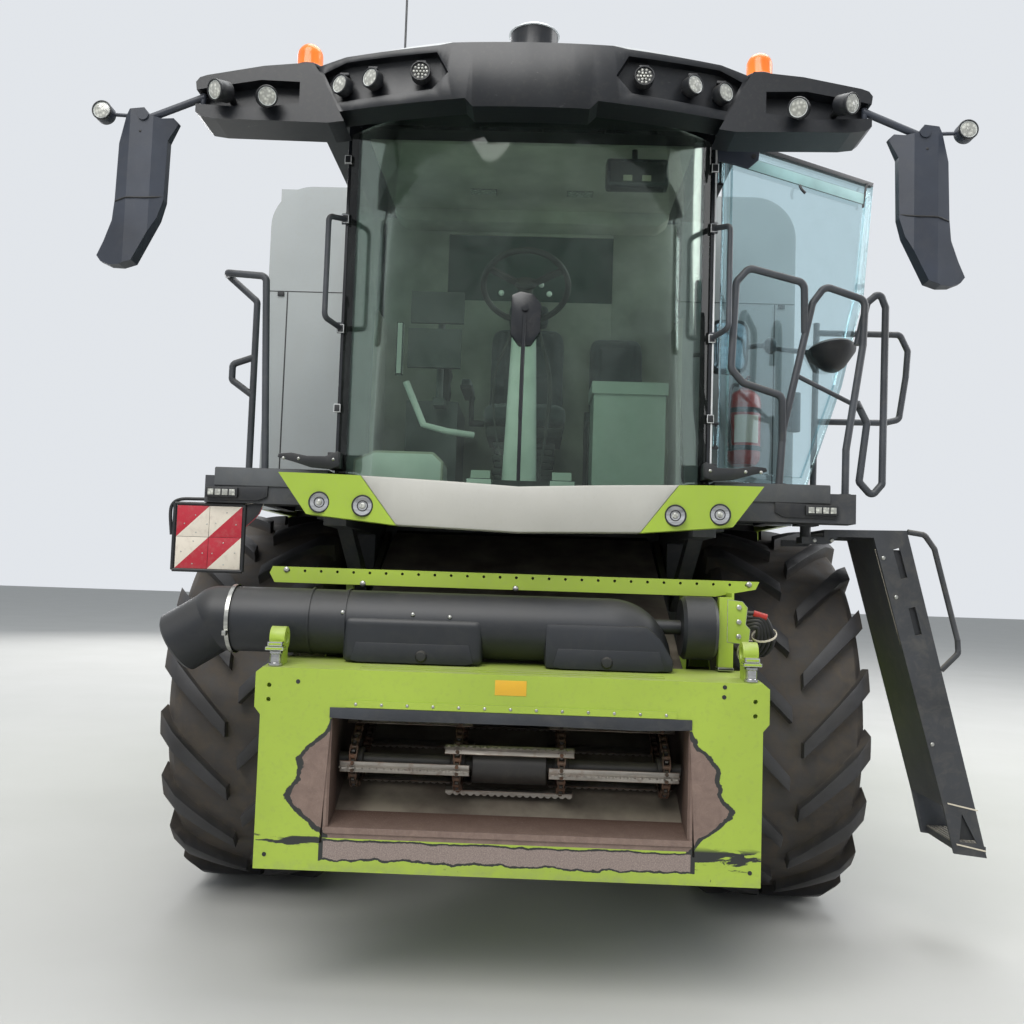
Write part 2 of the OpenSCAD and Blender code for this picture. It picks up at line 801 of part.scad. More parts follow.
module dust_duct() {
  y = -1440;
  z = 1443;
  // Intake box with a rounded front shoulder, from the frame's top plate up
  box = [
    [-1580, 1286.4], [-1580, 1400], [-1500, 1400], [-1500, 1480],
    [-1400, 1480], [-1400, 1298.4], [-1440, 1296.3]
  ];
  color(dark) {
    bar_x(-1240, 560, y, z, 270);
    translate([-1240, y, z])
      sphere(d = 270, $fn = 64);
    rod([-1240, y, z], [-1420, y, 1330], 262);
    // Clamp bands, the ribbed drum and its shaft
    for (x = [-1180, -850, -700])
      bar_x(x, x + 14, y, z, 282);
    for (x = [700 : 24 : 820])
      bar_x(x, x + 10, y, 1468, 262);
    bar_x(690, 833, y, 1468, 246);
    bar_x(540, 700, y, 1468, 60);
    side_plate(-690, -130, box);
    bar_x(-690, -130, -1500, 1400, 160);
    intersection() {
      union() {
        side_plate(130, 640, box);
        bar_x(130, 640, -1500, 1400, 160);
      }
      front_plate(-1600, -1390, [[130, 1280], [640, 1280], [640, 1390], [540, 1480], [130, 1480]]);
    }
  }
}

module feeder_guard() {
  color(lime) {
    difference() {
      front_plate(-1360, -1280, [
        [-1040, 1600], [850, 1600], [1020, 1635], [1035, 1668], [-1050, 1668], [-1062, 1640]
      ]);
      front_plate(-1352, -1279, [
        [-1032, 1608], [848, 1608], [1013, 1642], [1022, 1660], [-1044, 1660], [-1053, 1640]
      ]);
      for (x = [-980 : 70 : 980])
        bar_y(x, -1361, -1345, 1652, 12);
    }
    both()
      block(mouth_half + 20, mouth_half + 50, -1300, -1262, 1250, 1605);
    block(845, 900, -1480, -1440, frame_top + 22 + seat, 1600);
    side_plate(895, 905, [[-1480, frame_top + 30], [-1480, 1618], [-1300, 1618], [-1300, 1500]]);
  }
}

// Lift cylinders

lift_len = norm([lift_eye_y - lift_base_y, lift_eye_z - lift_base_z]);
lift_rise = atan2(lift_eye_z - lift_base_z, lift_base_y - lift_eye_y);

// Local frame of a lift cylinder: its rod runs out along +y
module at_lift(side) {
  translate([side * lift_x, lift_base_y, lift_base_z])
    rotate([-lift_rise, 0, 0])
      rotate([0, 0, 180])
        children();
}

module lift_base() {
  color(dark)
    both()
      difference() {
        for (x = [lift_x - 60, lift_x + 35])
          side_plate(x, x + 25, [
            [-130, axle_z - 110], [130, axle_z - 110], [20, 600], [-100, 590], [-140, 650]
          ]);
        bar_x(lift_x - 70, lift_x + 70, lift_base_y, lift_base_z, 60 + 2 * fit);
      }
}

module lift_barrel(side) {
  color(dark)
    at_lift(side)
      difference() {
        union() {
          bar_y(0, 95, 560, 0, 110);
          block(-30, 30, 0, 96, -42, 42);
          bar_y(0, 560, 580, 0, 126);
          bar_x(-33, 33, 0, 0, 100);
          bar_x(-58, 58, 0, 0, 60);
        }
        bar_y(0, 90, 581, 0, 56 + 2 * fit);
      }
}

module lift_rod(side) {
  color(steel)
    at_lift(side)
      union() {
        bar_y(0, 270, lift_len - 40, 0, 56);
        bar_x(-29, 29, lift_len, 0, 90);
        bar_x(-54, 54, lift_len, 0, 50);
      }
}

// Cab

// Door outline and its opening, as (distance from the hinge, z)
door_pts = [[26, 2140], [580, 2140], [820, 2680], [975, 3180], [door_len, screen_top + 50], [26, screen_top + 50]];
door_in = [[66, 2190], [555, 2190], [780, 2690], [930, 3190], [door_len - 45, screen_top - 40], [66, screen_top - 40]];
// Heights of the door's hinges
door_hinges = [2300, 3560];

module cab_body() {
  zf = 1950;
  color(dark) {
    // Floor with its curved front
    block(-875, 875, -1000, 150, zf, screen_low - 10);
    arc_shell(-118, 1240, 700, zf, screen_low - 10, screen_half + 10);
    // Pillars
    both() {
      side_plate(861, 875, [[-1000, zf], [-1000, 3800], [-930, 3800], [-930, 2120], [-250, 2120], [80, 3100], [80, 3800], [150, 3800], [150, zf]]);
      side_plate(845, 861, [[-988.7, zf], [-988.7, 3800], [-930, 3800], [-930, 2120], [-250, 2120], [80, 3100], [80, 3800], [150, 3800], [150, zf]]);
      block(screen_half - 30, 861, -988.7, -940, zf, 3800);
    }
    // Door hinges
    for (z = door_hinges) {
      bar_z(hinge_x, hinge_y, z - 15, z + 105, 14);
      for (z1 = [z - 17, z + 97])
        block(870, hinge_x + 12, hinge_y - 12, hinge_y + 12, z1, z1 + 10);
    }
    // Rear wall with its window opening
    difference() {
      block(-875, 875, 110, 150, zf, 3800);
      block(-600, 600, 100, 160, 2950, 3700);
    }
    // Head ring
    difference() {
      block(-875, 875, -1000, 150, 3750, 3800);
      block(-780, 780, -1100, 60, 3740, 3780);
    }
  }
}

module windscreen() {
  color(teal)
    arc_shell(-118, 1232, glass_t, screen_low, screen_top, screen_half);
}

module cab_windows() {
  color(teal) {
    side_plate(-861, -853, [
      [-929.7, 2120.3], [-929.7, 3749.7], [79.7, 3749.7], [79.7, 3100.2], [-250.4, 2120.3]
    ]);
    block(-620, 620, 101.7, 109.7, 2930, 3720);
  }
}

// Visor over the windscreen, curved in plan
visor_r = 4000;
visor_front = -1520;
function visor_y(x, deep) = visor_front + visor_r - sqrt((visor_r - deep) * (visor_r - deep) - x * x);
// Line between the visor and the cap on the machine's left, as (x, z)
cap_line = [[345, 3936], [405, 3926], [816, 3897], [940, 3866], [1030, 3866]];
function mirrored(p) = [for (i = [len(p) - 1 : -1 : 0]) [-p[i][0], p[i][1]]];
// Recess of the lamps in the visor's left half
visor_pod = [[360, 3806], [428, 3732], [846, 3694], [914, 3832], [812, 3872], [412, 3895]];

// Plan of the roof's front, deep behind the visor's face
module visor_plan(deep) {
  translate([0, visor_front + visor_r, 3500])
    cylinder(r = visor_r - deep, h = 900, $fn = 240);
}

module cab_roof() {
  wing = [
    [811, 3605], [881, 3595], [1375, 3603], [1440, 3612], [1463, 3632], [1463, 3667], [1461, 3728],
    [1466, 3765], [1450, 3786], [1419, 3797], [1169, 3844], [956, 3864], [930, 3826], [834, 3648]
  ];
  color(dark) {
    // Visor with its two lamp recesses and the raised bar in the middle
    difference() {
      intersection() {
        front_plate(-1560, -1200, concat(
          [[250, 3652], [285, 3689], [740, 3660], [842, 3654], [938, 3830]],
          [[940, 3866], [816, 3897], [405, 3926], [345, 3936]],
          mirrored([[250, 3652], [285, 3689], [740, 3660], [842, 3654], [938, 3830],
            [940, 3866], [816, 3897], [405, 3926], [345, 3936]])
        ));
        visor_plan(0);
      }
      visor_plan(150);
      both()
        difference() {
          front_plate(-1560, -1300, visor_pod);
          visor_plan(45);
        }
    }
    // Roof slab
    intersection() {
      front_plate(-1600, 200, concat([[1030, 3800]], [for (i = [4 : -1 : 0]) cap_line[i]],
        mirrored(concat([[1030, 3800]], [for (i = [4 : -1 : 0]) cap_line[i]]))));
      visor_plan(60);
    }
    // Wings with a recess between their bars
    both()
      difference() {
        front_plate(-1450, -1250, wing);
        front_plate(-1451, -1385, [
          [1010, 3680], [1200, 3655], [1400, 3664], [1470, 3667], [1470, 3728], [1400, 3742],
          [1180, 3780], [1010, 3775]
        ]);
      }
  }
  color(cream)
    difference() {
      intersection() {
        front_plate(-1600, 150, concat([for (i = [3 : -1 : 0]) cap_line[i]],
          mirrored([for (i = [3 : -1 : 0]) cap_line[i]]), [[-940, 4100], [940, 4100]]));
        visor_plan(70);
        translate([0, -650, -440])
          sphere(r = 4500, $fn = 360);
      }
      front_plate(-1600, 151, [[-345, 3956], [345, 3956], [406, 4100], [-406, 4100]]);
    }
  // Receiver dome on its foot, and the aerial
  color(dark) {
    bar_z(0, -1250, 3956, 4110, 216);
    bar_z(-580, -1300, 3960, 3992, 44);
    bar_z(-580, -1300, 3990, 4400, 10);
  }
  color(cream)
    intersection() {
      translate([0, -1250, 3994])
        sphere(r = 164, $fn = 64);
      bar_z(0, -1250, 4110, 4200, 400);
    }
}

module beacons() {
  color(orange)
    both() {
      bar_z(1043, -1150, 3990, 4045, 118);
      translate([1043, -1150, 4045])
        sphere(d = 118, $fn = 48);
      bar_z(1043, -1150, 3976, 3990, 132);
      block(1001, 1090, -1180, -1120, 3866, 3976);
    }
}

// Pod lamps as (x, z, turn outwards), and wing lamps as stem and face (x, z)
pod_lamps = [[478, 3800, 0], [692, 3785, 30], [828, 3766, 30]];
wing_lamps = [[[1318, 3708], [1350, 3692]], [[1150, 3690], [1128, 3668]]];

module work_lamps() {
  color(steel)
    both() {
      difference() {
        for (p = pod_lamps)
          translate([p[0] - 50 * sin(p[2]), visor_y(p[0] - 50 * sin(p[2]), 45) - 6, p[1]])
            rotate(p[2]) {
              bar_y(0, -62, -26, 0, 86);
              bar_y(0, -30, 30, 0, 30);
            }
        visor_plan(45 - seat);
      }
      for (p = wing_lamps) {
        rod([p[0][0], -1476, p[0][1]], [p[1][0], -1530, p[1][1]], 88);
        bar_y(p[0][0], -1480, -1385, p[0][1], 30);
      }
      for (p = headlights)
        bar_y(p[0], bumper_y(p[0]) - 4, bumper_y(p[0]) + 100, p[1], lamp_d);
    }
}

module driver_seat() {
  color(dark) {
    // Suspension base, cushion, back and head rest
    block(-150, 150, -420, -60, floor_z, 2400);
    block(-190, 190, -460, -40, 2400, 2440);
    side_plate(-240, 240, [[-520, 2470], [-500, 2440], [-20, 2440], [-20, 2530], [-460, 2560], [-520, 2530]]);
    side_plate(-230, 230, [[-72, 2530], [-40, 2440], [20, 2440], [80, 3080], [10, 3100]]);
    side_plate(-120, 120, [[5, 3090], [78, 3070], [82, 3220], [30, 3240]]);
    // Armrest on the driver's right
    block(-345, -285, -440, -60, 2640, 2700);
    block(-310, -285, -200, -150, 2500, 2650);
    block(-310, -225, -200, -150, 2480, 2510);
    // Passenger seat with its folding back
    block(330, 680, -420, -60, floor_z, 2500);
    side_plate(340, 670, [[-430, 2500], [-60, 2500], [-60, 2570], [-400, 2580], [-430, 2560]]);
    side_plate(340, 670, [[-100, 2570], [-60, 2500], [0, 2500], [70, 3040], [0, 3060]]);
  }
}

module steering_column() {
  color(dark) {
    bar_z(-10, -900, floor_z, floor_z + 60, 140);
    rod([-10, -900, 2060], [-10, -800, 3040], 90);
    rod([-10, -803, 3020], [-10, -770, 3095], 70);
    block(-130, 130, -1050, -850, floor_z, 2100);
    translate([-10, -770, 3095])
      rotate([-38, 0, 0])
        rotate_extrude()
          translate([210, 0])
            circle(d = 30, $fn = 24);
    for (a = [90, 210, 330])
      translate([-10, -770, 3095])
        rotate([-38, 0, 0])
          rotate(a)
            block(0, 205, -15, 15, -12, 4);
  }
}

module cab_console() {
  color(dark) {
    // Side console, monitors on their struts, cooler box with its lid and the pedals
    difference() {
      block(-620, -350, -480, 60, floor_z, 2560);
      block(-600, -370, -440, -120, 2500, 2561);
    }
    for (m = [[-600, 2700, 2900], [-590, 2930, 3090]]) {
      block(m[0], m[0] + 270, -660, -632, m[1], m[2]);
      rod([m[0] + 135, -634, (m[1] + m[2]) / 2], [-440, -560, (m[1] + m[2]) / 2 - 30], 26);
    }
    rod([-440, -560, 2540], [-440, -560, 3000], 36);
    block(-470, -410, -590, -440, 2520, 2560);
    block(340, 690, -820, -500, floor_z, 2560);
    block(330, 700, -830, -490, 2560, 2620);
    block(440, 590, -670, -640, 2620, 2645);
    for (x = [-235, 145])
      side_plate(x, x + 90, [[-1110, floor_z], [-1090, floor_z], [-960, 2130], [-985, 2150]]);
  }
}

// Bumper, decks, rails

bumper_yc = 1100;
bumper_r = 2600;
lamp_d = 92;
// Headlight centres (x, z)
headlights = [[863, 1950], [664, 1936]];
function bumper_y(x) = bumper_yc - sqrt(bumper_r * bumper_r - x * x);

module bumper_centre() {
  color(cream) {
    intersection() {
      arc_shell(bumper_yc, bumper_r, 110, 1800, 2120, 1100);
      front_plate(-1600, -1000, [[-515, 1857], [0, 1840], [515, 1857], [680, 2067], [0, 2032], [-680, 2067]]);
    }
    both()
      block(280, 320, -1375, -1326.3, 1960, 2000);
  }
}

module bumper_ends() {
  color(lime)
    both() {
      difference() {
        intersection() {
          arc_shell(bumper_yc, bumper_r, 110, 1800, 2120, 1100);
          front_plate(-1600, -1000, [[515.6, 1857], [925, 1900], [1070, 2085], [680.6, 2067]]);
        }
        for (p = headlights)
          bar_y(p[0], -1600, -1000, p[1], lamp_d + 0.6);
      }
      block(940, 980, -1218, -1080.3, 1960, 2060);
    }
}

module platforms() {
  color(dark) {
    // Left deck with a ladder well, right deck, lamp boxes
    both() {
      block(885, 1411, -1080, 240, 2080, 2119);
      block(885, 960, -940, 240, 1900, 2080);
      block(1351, 1411, -840, 240, 2000, 2080);
    }
    block(1400, 1610, -480, 240, 2060, 2119);
    block(885, 1530, -1080, -950, 1945, 2080);
    block(-1456, -885, -1080, -950, 1955, 2080);
    // Hinge block of the ladder
    difference() {
      block(1300, 1400, -951, -850, 1940, 2080);
      bar_z(1350, -900, 1930, 2090, 50 + 2 * fit);
    }
  }
}

module handrails() {
  color(dark) {
    deck = 2119 + seat;
    for (p = [[1199, -1000], [-1217, -950], [-1395, -600], [1576, -200]])
      bar_z(p[0], p[1], deck, deck + 8, 64);
    // Gate at the front of the left deck, the loop beside the cab and the outer loop
    pipe([[1199, -1000, deck + 4], [1214, -1000, 2384], [1343, -1000, 2985], [1400, -1000, 3066],
      [1588, -1000, 3005], [1580, -1000, 2792], [1506, -1000, 2295], [1504, -1000, 2084 + seat]], 40, rail_d);
    bar_z(1504, -1000, 2080 + seat, 2088 + seat, 50);
    pipe([[1211, -1000, 2325], [1196, -1050, 2530], [1014, -1050, 2586], [958, -1050, 2650],
      [975, -1050, 3061], [1033, -1050, 3129], [1290, -1050, 3065], [1308, -1000, 2842]], 40, rail_d);
    pipe([[1584, -900, 2815], [1630, -900, 3021], [1690, -900, 3075], [1718, -900, 3000],
      [1708, -900, 2150], [1660, -900, 2092], [1600, -900, 2158], [1634, -900, 2440],
      [1584, -900, 2540]], 22, rail_d);
    rod([1268, -1000, 2640], [1606, -900, 2510], 22);
    rod([1538, -1000, 2540], [1606, -900, 2510], 22);
    // Outer rail behind the door
    pipe([[1576, -200, deck + 4], [1586, -200, 3100]], 40, rail_d);
    pipe([[1586, -200, 3047], [2040, -200, 3049], [2083, -200, 2960], [2073, -200, 2817],
      [2037, -200, 2580], [1960, -200, 2560], [1582, -200, 2556]], 30, rail_d);
    // Rail of the right deck
    pipe([[-1217, -950, deck + 4], [-1256, -950, 3060], [-1440, -950, 3071], [-1555, -600, 3166],
      [-1395, -600, 3030], [-1395, -600, deck + 4]], 30, rail_d);
    pipe([[-1395, -600, 2540], [-1506, -600, 2618], [-1506, -600, 2700], [-1395, -600, 2740]], 25, rail_d);
    // Grab handles on the front pillars
    both() {
      pipe([[877, -1006, 3330], [932, -1108, 3306], [932, -1108, 2828], [877, -1006, 2804]], 30, 26);
      for (z = [2804, 3330])
        block(863, 891, -1012, -1000 - seat, z - 25, z + 25);
    }
  }
}

module ladder() {
  // Side outline: top plate, sloped stringer and the rubber-hung bottom step
  side = [
    [1321, 1888], [1424, 1888], [1424, 1924], [1808, 1931], [2121, 688], [2180, 446],
    [2031, 461], [1982, 671], [1655, 1893], [1491, 1893], [1456, 1859], [1321, 1855]
  ];
  color(dark) {
    for (y = [-950, -562])
      difference() {
        front_plate(y, y + 12, side);
        // Slots beside the knee and the triangular window of the bottom step
        front_plate(y - 1, y + 13, [[1745, 1840], [1775, 1850], [1812, 1712], [1782, 1704]]);
        front_plate(y - 1, y + 13, [[1818, 1570], [1848, 1578], [1880, 1452], [1850, 1444]]);
        front_plate(y - 1, y + 13, [[2055, 515], [2135, 510], [2066, 640]]);
      }
    front_plate(-940, -560, [[1655, 1893], [1667, 1893], [1994, 671], [1982, 671]]);
    front_plate(-940, -560, [[1424, 1912], [1424, 1924], [1808, 1931], [1808, 1919]]);
    block(1321, 1456, -950, -850, 1859, 1888);
    bar_z(1350, -900, 1880, 2060, 50);
    for (i = [0 : 4]) {
      z = 465 + i * 290;
      x = 1657 + (1893 - z) * 0.2676;
      block(x + (i == 0 ? 14 : 0), x + 138, -945, -555, z, z + 30);
    }
    pipe([[1813, -944, 1925], [1892, -944, 1914], [1938, -944, 1850], [2046, -944, 1432],
      [2050, -944, 1370], [1972, -944, 1290]], 30, 26);
  }
}

module cab_door_frame() {
  translate([hinge_x, hinge_y, 0])
    rotate(-door_open)
      children();
}

module cab_door() {
  color(dark)
    cab_door_frame() {
      difference() {
        side_plate(-12, 12, door_pts);
        side_plate(-13, 13, door_in);
      }
      for (z = door_hinges)
        difference() {
          union() {
            bar_z(0, 0, z, z + 90, 28);
            block(-6, 6, 0, 40, z, z + 90);
          }
          bar_z(0, 0, z - 1, z + 91, 14 + 2 * fit);
        }
    }
}

module door_glass() {
  color(teal)
    cab_door_frame()
      side_plate(-4, 4, door_in);
}

module mirrors() {
  outline = [
    [1751, 3639], [1688, 3647], [1673, 3612], [1613, 3607], [1572, 3619], [1551, 3600],
    [1589, 3513], [1593, 3245], [1614, 3163], [1709, 2968], [1762, 2950], [1814, 2952],
    [1860, 2972], [1883, 3000], [1850, 3060], [1812, 3149], [1803, 3240], [1797, 3491], [1766, 3612]
  ];
  // Plan of the shell, with two creases in its front
  plan = [
    [1530, -1382], [1560, -1402], [1646, -1446], [1746, -1450], [1890, -1394], [1890, -1372], [1530, -1372]
  ];
  color(dark)
    both() {
      intersection() {
        front_plate(-1500, -1370, outline);
        translate([0, 0, 2900])
          linear_extrude(800)
            polygon(plan);
      }
      // Arm from the wing's tip and its clamp
      rod([1434, -1418, 3711], [1690, -1410, 3610], 32);
      bar_z(1440, -1418, 3666.6, 3724, 24);
      bar_y(1690, -1455, -1385, 3612, 46);
      // Small lamp outside the shell
      bar_y(reach_right - 42, -1470, -1420, 3618, 84);
      rod([1740, -1405, 3625], [reach_right - 50, -1430, 3620], 16);
    }
}

module warning_board() {
  color(cream)
    block(-1593, -1273, -1060, -1050, 1644, 1936);
  color(dark)
    for (x = [-1560, -1330])
      block(x, x + 25, -1050, -1030, 1700, 1954.7);
    block(-1560, -1305, -1050, -1030, 1940, 1954.7);
}

module fire_extinguisher() {
  color(red)
    bar_z(body_half - 310, 154.7, 2340, 2780, 190);
}

translate([-shift_x, -shift_y, 0]) {
  chassis_frame();
  front_axle();
  rear_axle();
  lift_base();
  separator_body();
  panel_braces();
  grain_tank();
  side_panels();
  engine();
  engine_hood();
  rear_hood();
  straw_chopper();
  rear_lamps();
  rear_ladder();
  deck_rails();
  tow_hitch();
  cab_body();
  cab_roof();
  windscreen();
  cab_windows();
  driver_seat();
  steering_column();
  cab_console();
  bumper_centre();
  bumper_ends();
  platforms();
  handrails();
  work_lamps();
  beacons();
  mirrors();
  warning_board();
  fire_extinguisher();
  tyre_front(1);  // tyre_front_left
  rim_front(1);  // rim_front_left
  tyre_front(-1);  // tyre_front_right
  rim_front(-1);  // rim_front_right
  tyre_rear(1);  // tyre_rear_left
  rim_rear(1);  // rim_rear_left
  tyre_rear(-1);  // tyre_rear_right
  rim_rear(-1);  // rim_rear_right
  knuckle();  // knuckle_left
  mirror([1, 0, 0]) knuckle();  // knuckle_right
  tie_rod();
  feeder_housing();
  feeder_frame();
  feed_conveyor();
  dust_duct();
  feeder_guard();
  lift_barrel(1);  // lift_barrel_left
  lift_rod(1);  // lift_rod_left
  lift_barrel(-1);  // lift_barrel_right
  lift_rod(-1);  // lift_rod_right
  auger_tube();
  auger_boot();
  tank_lid(1);  // tank_lid_left
  tank_lid(-1);  // tank_lid_right
  ladder();
  cab_door();
  door_glass();
}
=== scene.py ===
"""Looks of a parked combine harvester without a header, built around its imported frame.

Every place below is in metres in the machine's own frame: x to the machine's left, y to its rear,
z up, and zero on the ground under the middle of the front axle. Shape.piece moves it to the frame.
"""
import math

import bmesh
import bpy
from mathutils import Matrix, Vector


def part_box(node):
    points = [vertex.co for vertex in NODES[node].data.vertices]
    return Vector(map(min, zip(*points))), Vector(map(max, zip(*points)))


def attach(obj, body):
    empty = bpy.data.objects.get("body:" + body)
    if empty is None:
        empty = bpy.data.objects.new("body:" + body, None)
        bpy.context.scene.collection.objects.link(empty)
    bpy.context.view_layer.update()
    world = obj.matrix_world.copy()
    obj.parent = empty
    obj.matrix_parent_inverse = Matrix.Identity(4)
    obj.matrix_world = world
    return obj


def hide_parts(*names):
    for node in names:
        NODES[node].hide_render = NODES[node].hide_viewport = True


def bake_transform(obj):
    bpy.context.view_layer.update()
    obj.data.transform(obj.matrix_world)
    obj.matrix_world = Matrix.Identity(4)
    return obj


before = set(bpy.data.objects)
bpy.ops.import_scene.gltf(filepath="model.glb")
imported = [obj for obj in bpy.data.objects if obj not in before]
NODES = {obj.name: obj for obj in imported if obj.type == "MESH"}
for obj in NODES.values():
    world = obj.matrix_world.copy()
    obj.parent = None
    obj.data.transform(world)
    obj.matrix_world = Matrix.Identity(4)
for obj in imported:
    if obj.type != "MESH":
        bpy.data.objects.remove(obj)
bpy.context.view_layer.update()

LEFT_LOW, LEFT_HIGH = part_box("tyre_front_left")
REAR_LOW, REAR_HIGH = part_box("tyre_rear_left")
RIGHT_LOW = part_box("tyre_front_right")[0]
ORIGIN = Vector(((LEFT_HIGH.x + RIGHT_LOW.x) / 2, (LEFT_LOW.y + LEFT_HIGH.y) / 2, 0))
FRONT_R = (LEFT_HIGH.z - LEFT_LOW.z) / 2
REAR_R = (REAR_HIGH.z - REAR_LOW.z) / 2
REAR_Y = (REAR_HIGH.y + REAR_LOW.y) / 2 - ORIGIN.y


# Node graphs

class Graph:
    """A material and short ways to wire it."""

    def __init__(self, name):
        self.material = bpy.data.materials.new(name)
        self.material.use_nodes = True
        self.tree = self.material.node_tree
        self.tree.nodes.clear()
        self.out = self.tree.nodes.new("ShaderNodeOutputMaterial")
        self.shader = self.tree.nodes.new("ShaderNodeBsdfPrincipled")
        self.tree.links.new(self.shader.outputs[0], self.out.inputs[0])
        coordinates = self.node("TexCoord").outputs["Object"]
        self.place = self.node("VectorMath", coordinates, ORIGIN, operation="SUBTRACT").outputs[0]

    def node(self, kind, *values, **settings):
        """New node whose inputs take the values in turn. None leaves an input as it is."""
        made = self.tree.nodes.new("ShaderNode" + kind)
        for key, value in settings.items():
            setattr(made, key, value)
        for socket, value in zip(made.inputs, values):
            if value is not None:
                self.set(socket, value)
        return made

    def set(self, socket, value):
        if isinstance(value, bpy.types.NodeSocket):
            self.tree.links.new(value, socket)
        else:
            socket.default_value = value

    def stretch(self, *scale):
        return self.node("Mapping", self.place, None, None, scale).outputs[0]

    def noise(self, scale, detail=3, rough=0.55, distort=0.0, place=None):
        made = self.node("TexNoise", place or self.place, None, scale, detail, rough)
        made.inputs["Distortion"].default_value = distort
        return made.outputs["Fac"]

    def cells(self, scale, place=None):
        return self.node("TexVoronoi", place or self.place, None, scale).outputs["Distance"]

    def step(self, value, low, high, start=0.0, end=1.0):
        return self.node("MapRange", value, low, high, start, end).outputs[0]

    def math(self, what, a, b=0.0):
        return self.node("Math", a, b, operation=what).outputs[0]

    def mix(self, share, a, b):
        """Blend of two colours, each as sRGB numbers or a socket."""
        made = self.node("Mix", share, data_type="RGBA")
        for socket, value in zip(made.inputs[6:], (a, b)):
            self.set(socket, colour(value) if isinstance(value, tuple) else value)
        return made.outputs[2]

    def axis(self, name):
        return self.node("SeparateXYZ", self.place).outputs[name]

    def line(self, along, start, height, slope):
        """Height of a straight line at a place along it."""
        return self.plus(self.times(self.minus(along, start), slope), height)

    def over(self, value, limit, blur=0.001):
        """1 where value is over the limit, else 0."""
        return self.step(self.minus(value, limit), 0, blur)

    def fold(self, what, values):
        made = values[0]
        for value in values[1:]:
            made = self.math(what, made, value)
        return made

    def times(self, *values):
        return self.fold("MULTIPLY", values)

    def plus(self, *values):
        return self.fold("ADD", values)

    def most(self, *values):
        return self.fold("MAXIMUM", values)

    def least(self, *values):
        return self.fold("MINIMUM", values)

    def minus(self, a, b):
        return self.math("SUBTRACT", a, b)

    def rest(self, share):
        return self.math("SUBTRACT", 1.0, share)

    def size(self, value):
        return self.math("ABSOLUTE", value)

    def far(self, *centres, axes="YZ"):
        """Distance to the nearest of some axes, each a pair on two coordinates."""
        nearest = None
        for a, b in centres:
            da = self.minus(self.axis(axes[0]), a)
            db = self.minus(self.axis(axes[1]), b)
            reach = self.math("SQRT", self.plus(self.times(da, da), self.times(db, db)))
            nearest = reach if nearest is None else self.least(nearest, reach)
        return nearest

    def ramp(self, value, *stops):
        """Level between stops of (value, level), levels from 0 to 1."""
        made = self.node("ValToRGB", value)
        spots = made.color_ramp.elements
        spots[0].position, spots[1].position = stops[0][0], stops[-1][0]
        for at, _ in stops[1:-1]:
            spots.new(at)
        for spot, (_, level) in zip(spots, stops):
            spot.color = (level, level, level, 1)
        return made.outputs[0]

    def upward(self, low=0.2, high=0.9):
        normal = self.node("NewGeometry").outputs["Normal"]
        return self.step(self.node("SeparateXYZ", normal).outputs["Z"], low, high)

    def bump(self, height, depth, strength=0.5):
        made = self.node("Bump", strength, depth)
        self.set(made.inputs["Height"], height)
        self.set(self.shader.inputs["Normal"], made.outputs[0])

    def finish(self, **values):
        for key, value in values.items():
            socket = self.shader.inputs[key.replace("_", " ")]
            self.set(socket, colour(value) if isinstance(value, tuple) else value)
        return self.material


def colour(rgb):
    """Linear RGBA from sRGB numbers of 0 to 255."""
    parts = [c / 255 for c in rgb[:3]]
    linear = [c / 12.92 if c < 0.04045 else ((c + 0.055) / 1.055) ** 2.4 for c in parts]
    return (*linear, 1.0)


# Colour of settled dust, as sRGB numbers
DUST = (150, 142, 124)


def paint(name, base, rough=0.42, dust=0.35, fade=0.85, chips=0.0, chip_colour=(70, 62, 55)):
    """Sprayed paint with uneven fading, dust that settles on top, and chips."""
    g = Graph(name)
    darker = tuple(c * fade for c in base)
    body = g.mix(g.step(g.noise(1.7, 4), 0.35, 0.7), base, darker)
    specks = g.step(g.noise(55, 5, 0.7), 0.52, 0.75)
    streaks = g.step(g.noise(9, 4, 0.6, 0.4, g.stretch(1, 1, 0.15)), 0.45, 0.8, 0, 0.5)
    film = g.times(g.most(specks, streaks), 0.6 * dust)
    top = g.times(g.upward(), g.step(g.noise(6, 4), 0.3, 0.7, 0.25 * dust, dust))
    settled = g.most(film, top)
    look = g.mix(settled, body, DUST)
    if chips:
        chipped = g.step(g.noise(34, 8, 0.75), 0.7 - chips, 0.73 - chips)
        look = g.mix(chipped, look, chip_colour)
    orange_peel = g.noise(380, 2)
    g.bump(orange_peel, 0.0004, 0.3)
    shine = g.step(settled, 0, 1, rough, 0.85)
    return g.finish(Base_Color=look, Roughness=shine, Coat_Weight=0.12, Coat_Roughness=0.3)


def plastic(name, base, rough=0.5, dust=0.4, grain=420):
    """Moulded plastic or powder-coated steel with a fine grain and a dust film."""
    g = Graph(name)
    lighter = tuple(min(255, c * 1.35 + 6) for c in base)
    body = g.mix(g.step(g.noise(2.3, 5), 0.35, 0.75), base, lighter)
    film = g.step(g.noise(14, 6, 0.7, 0.6), 0.48, 0.85, 0.04 * dust, 0.4 * dust)
    top = g.times(g.upward(0.1, 0.9), g.step(g.noise(5, 4), 0.3, 0.75, 0.35 * dust, dust))
    settled = g.most(film, top)
    hair = g.step(g.noise(60, 4, 0.6, 1.5, g.stretch(1, 1, 0.1)), 0.72, 0.76, 0, 0.25)
    look = g.mix(hair, g.mix(settled, body, DUST), (120, 122, 124))
    g.bump(g.noise(grain, 2), 0.0006, 0.4)
    return g.finish(Base_Color=look, Roughness=g.step(settled, 0, 0.7, rough, 0.85))


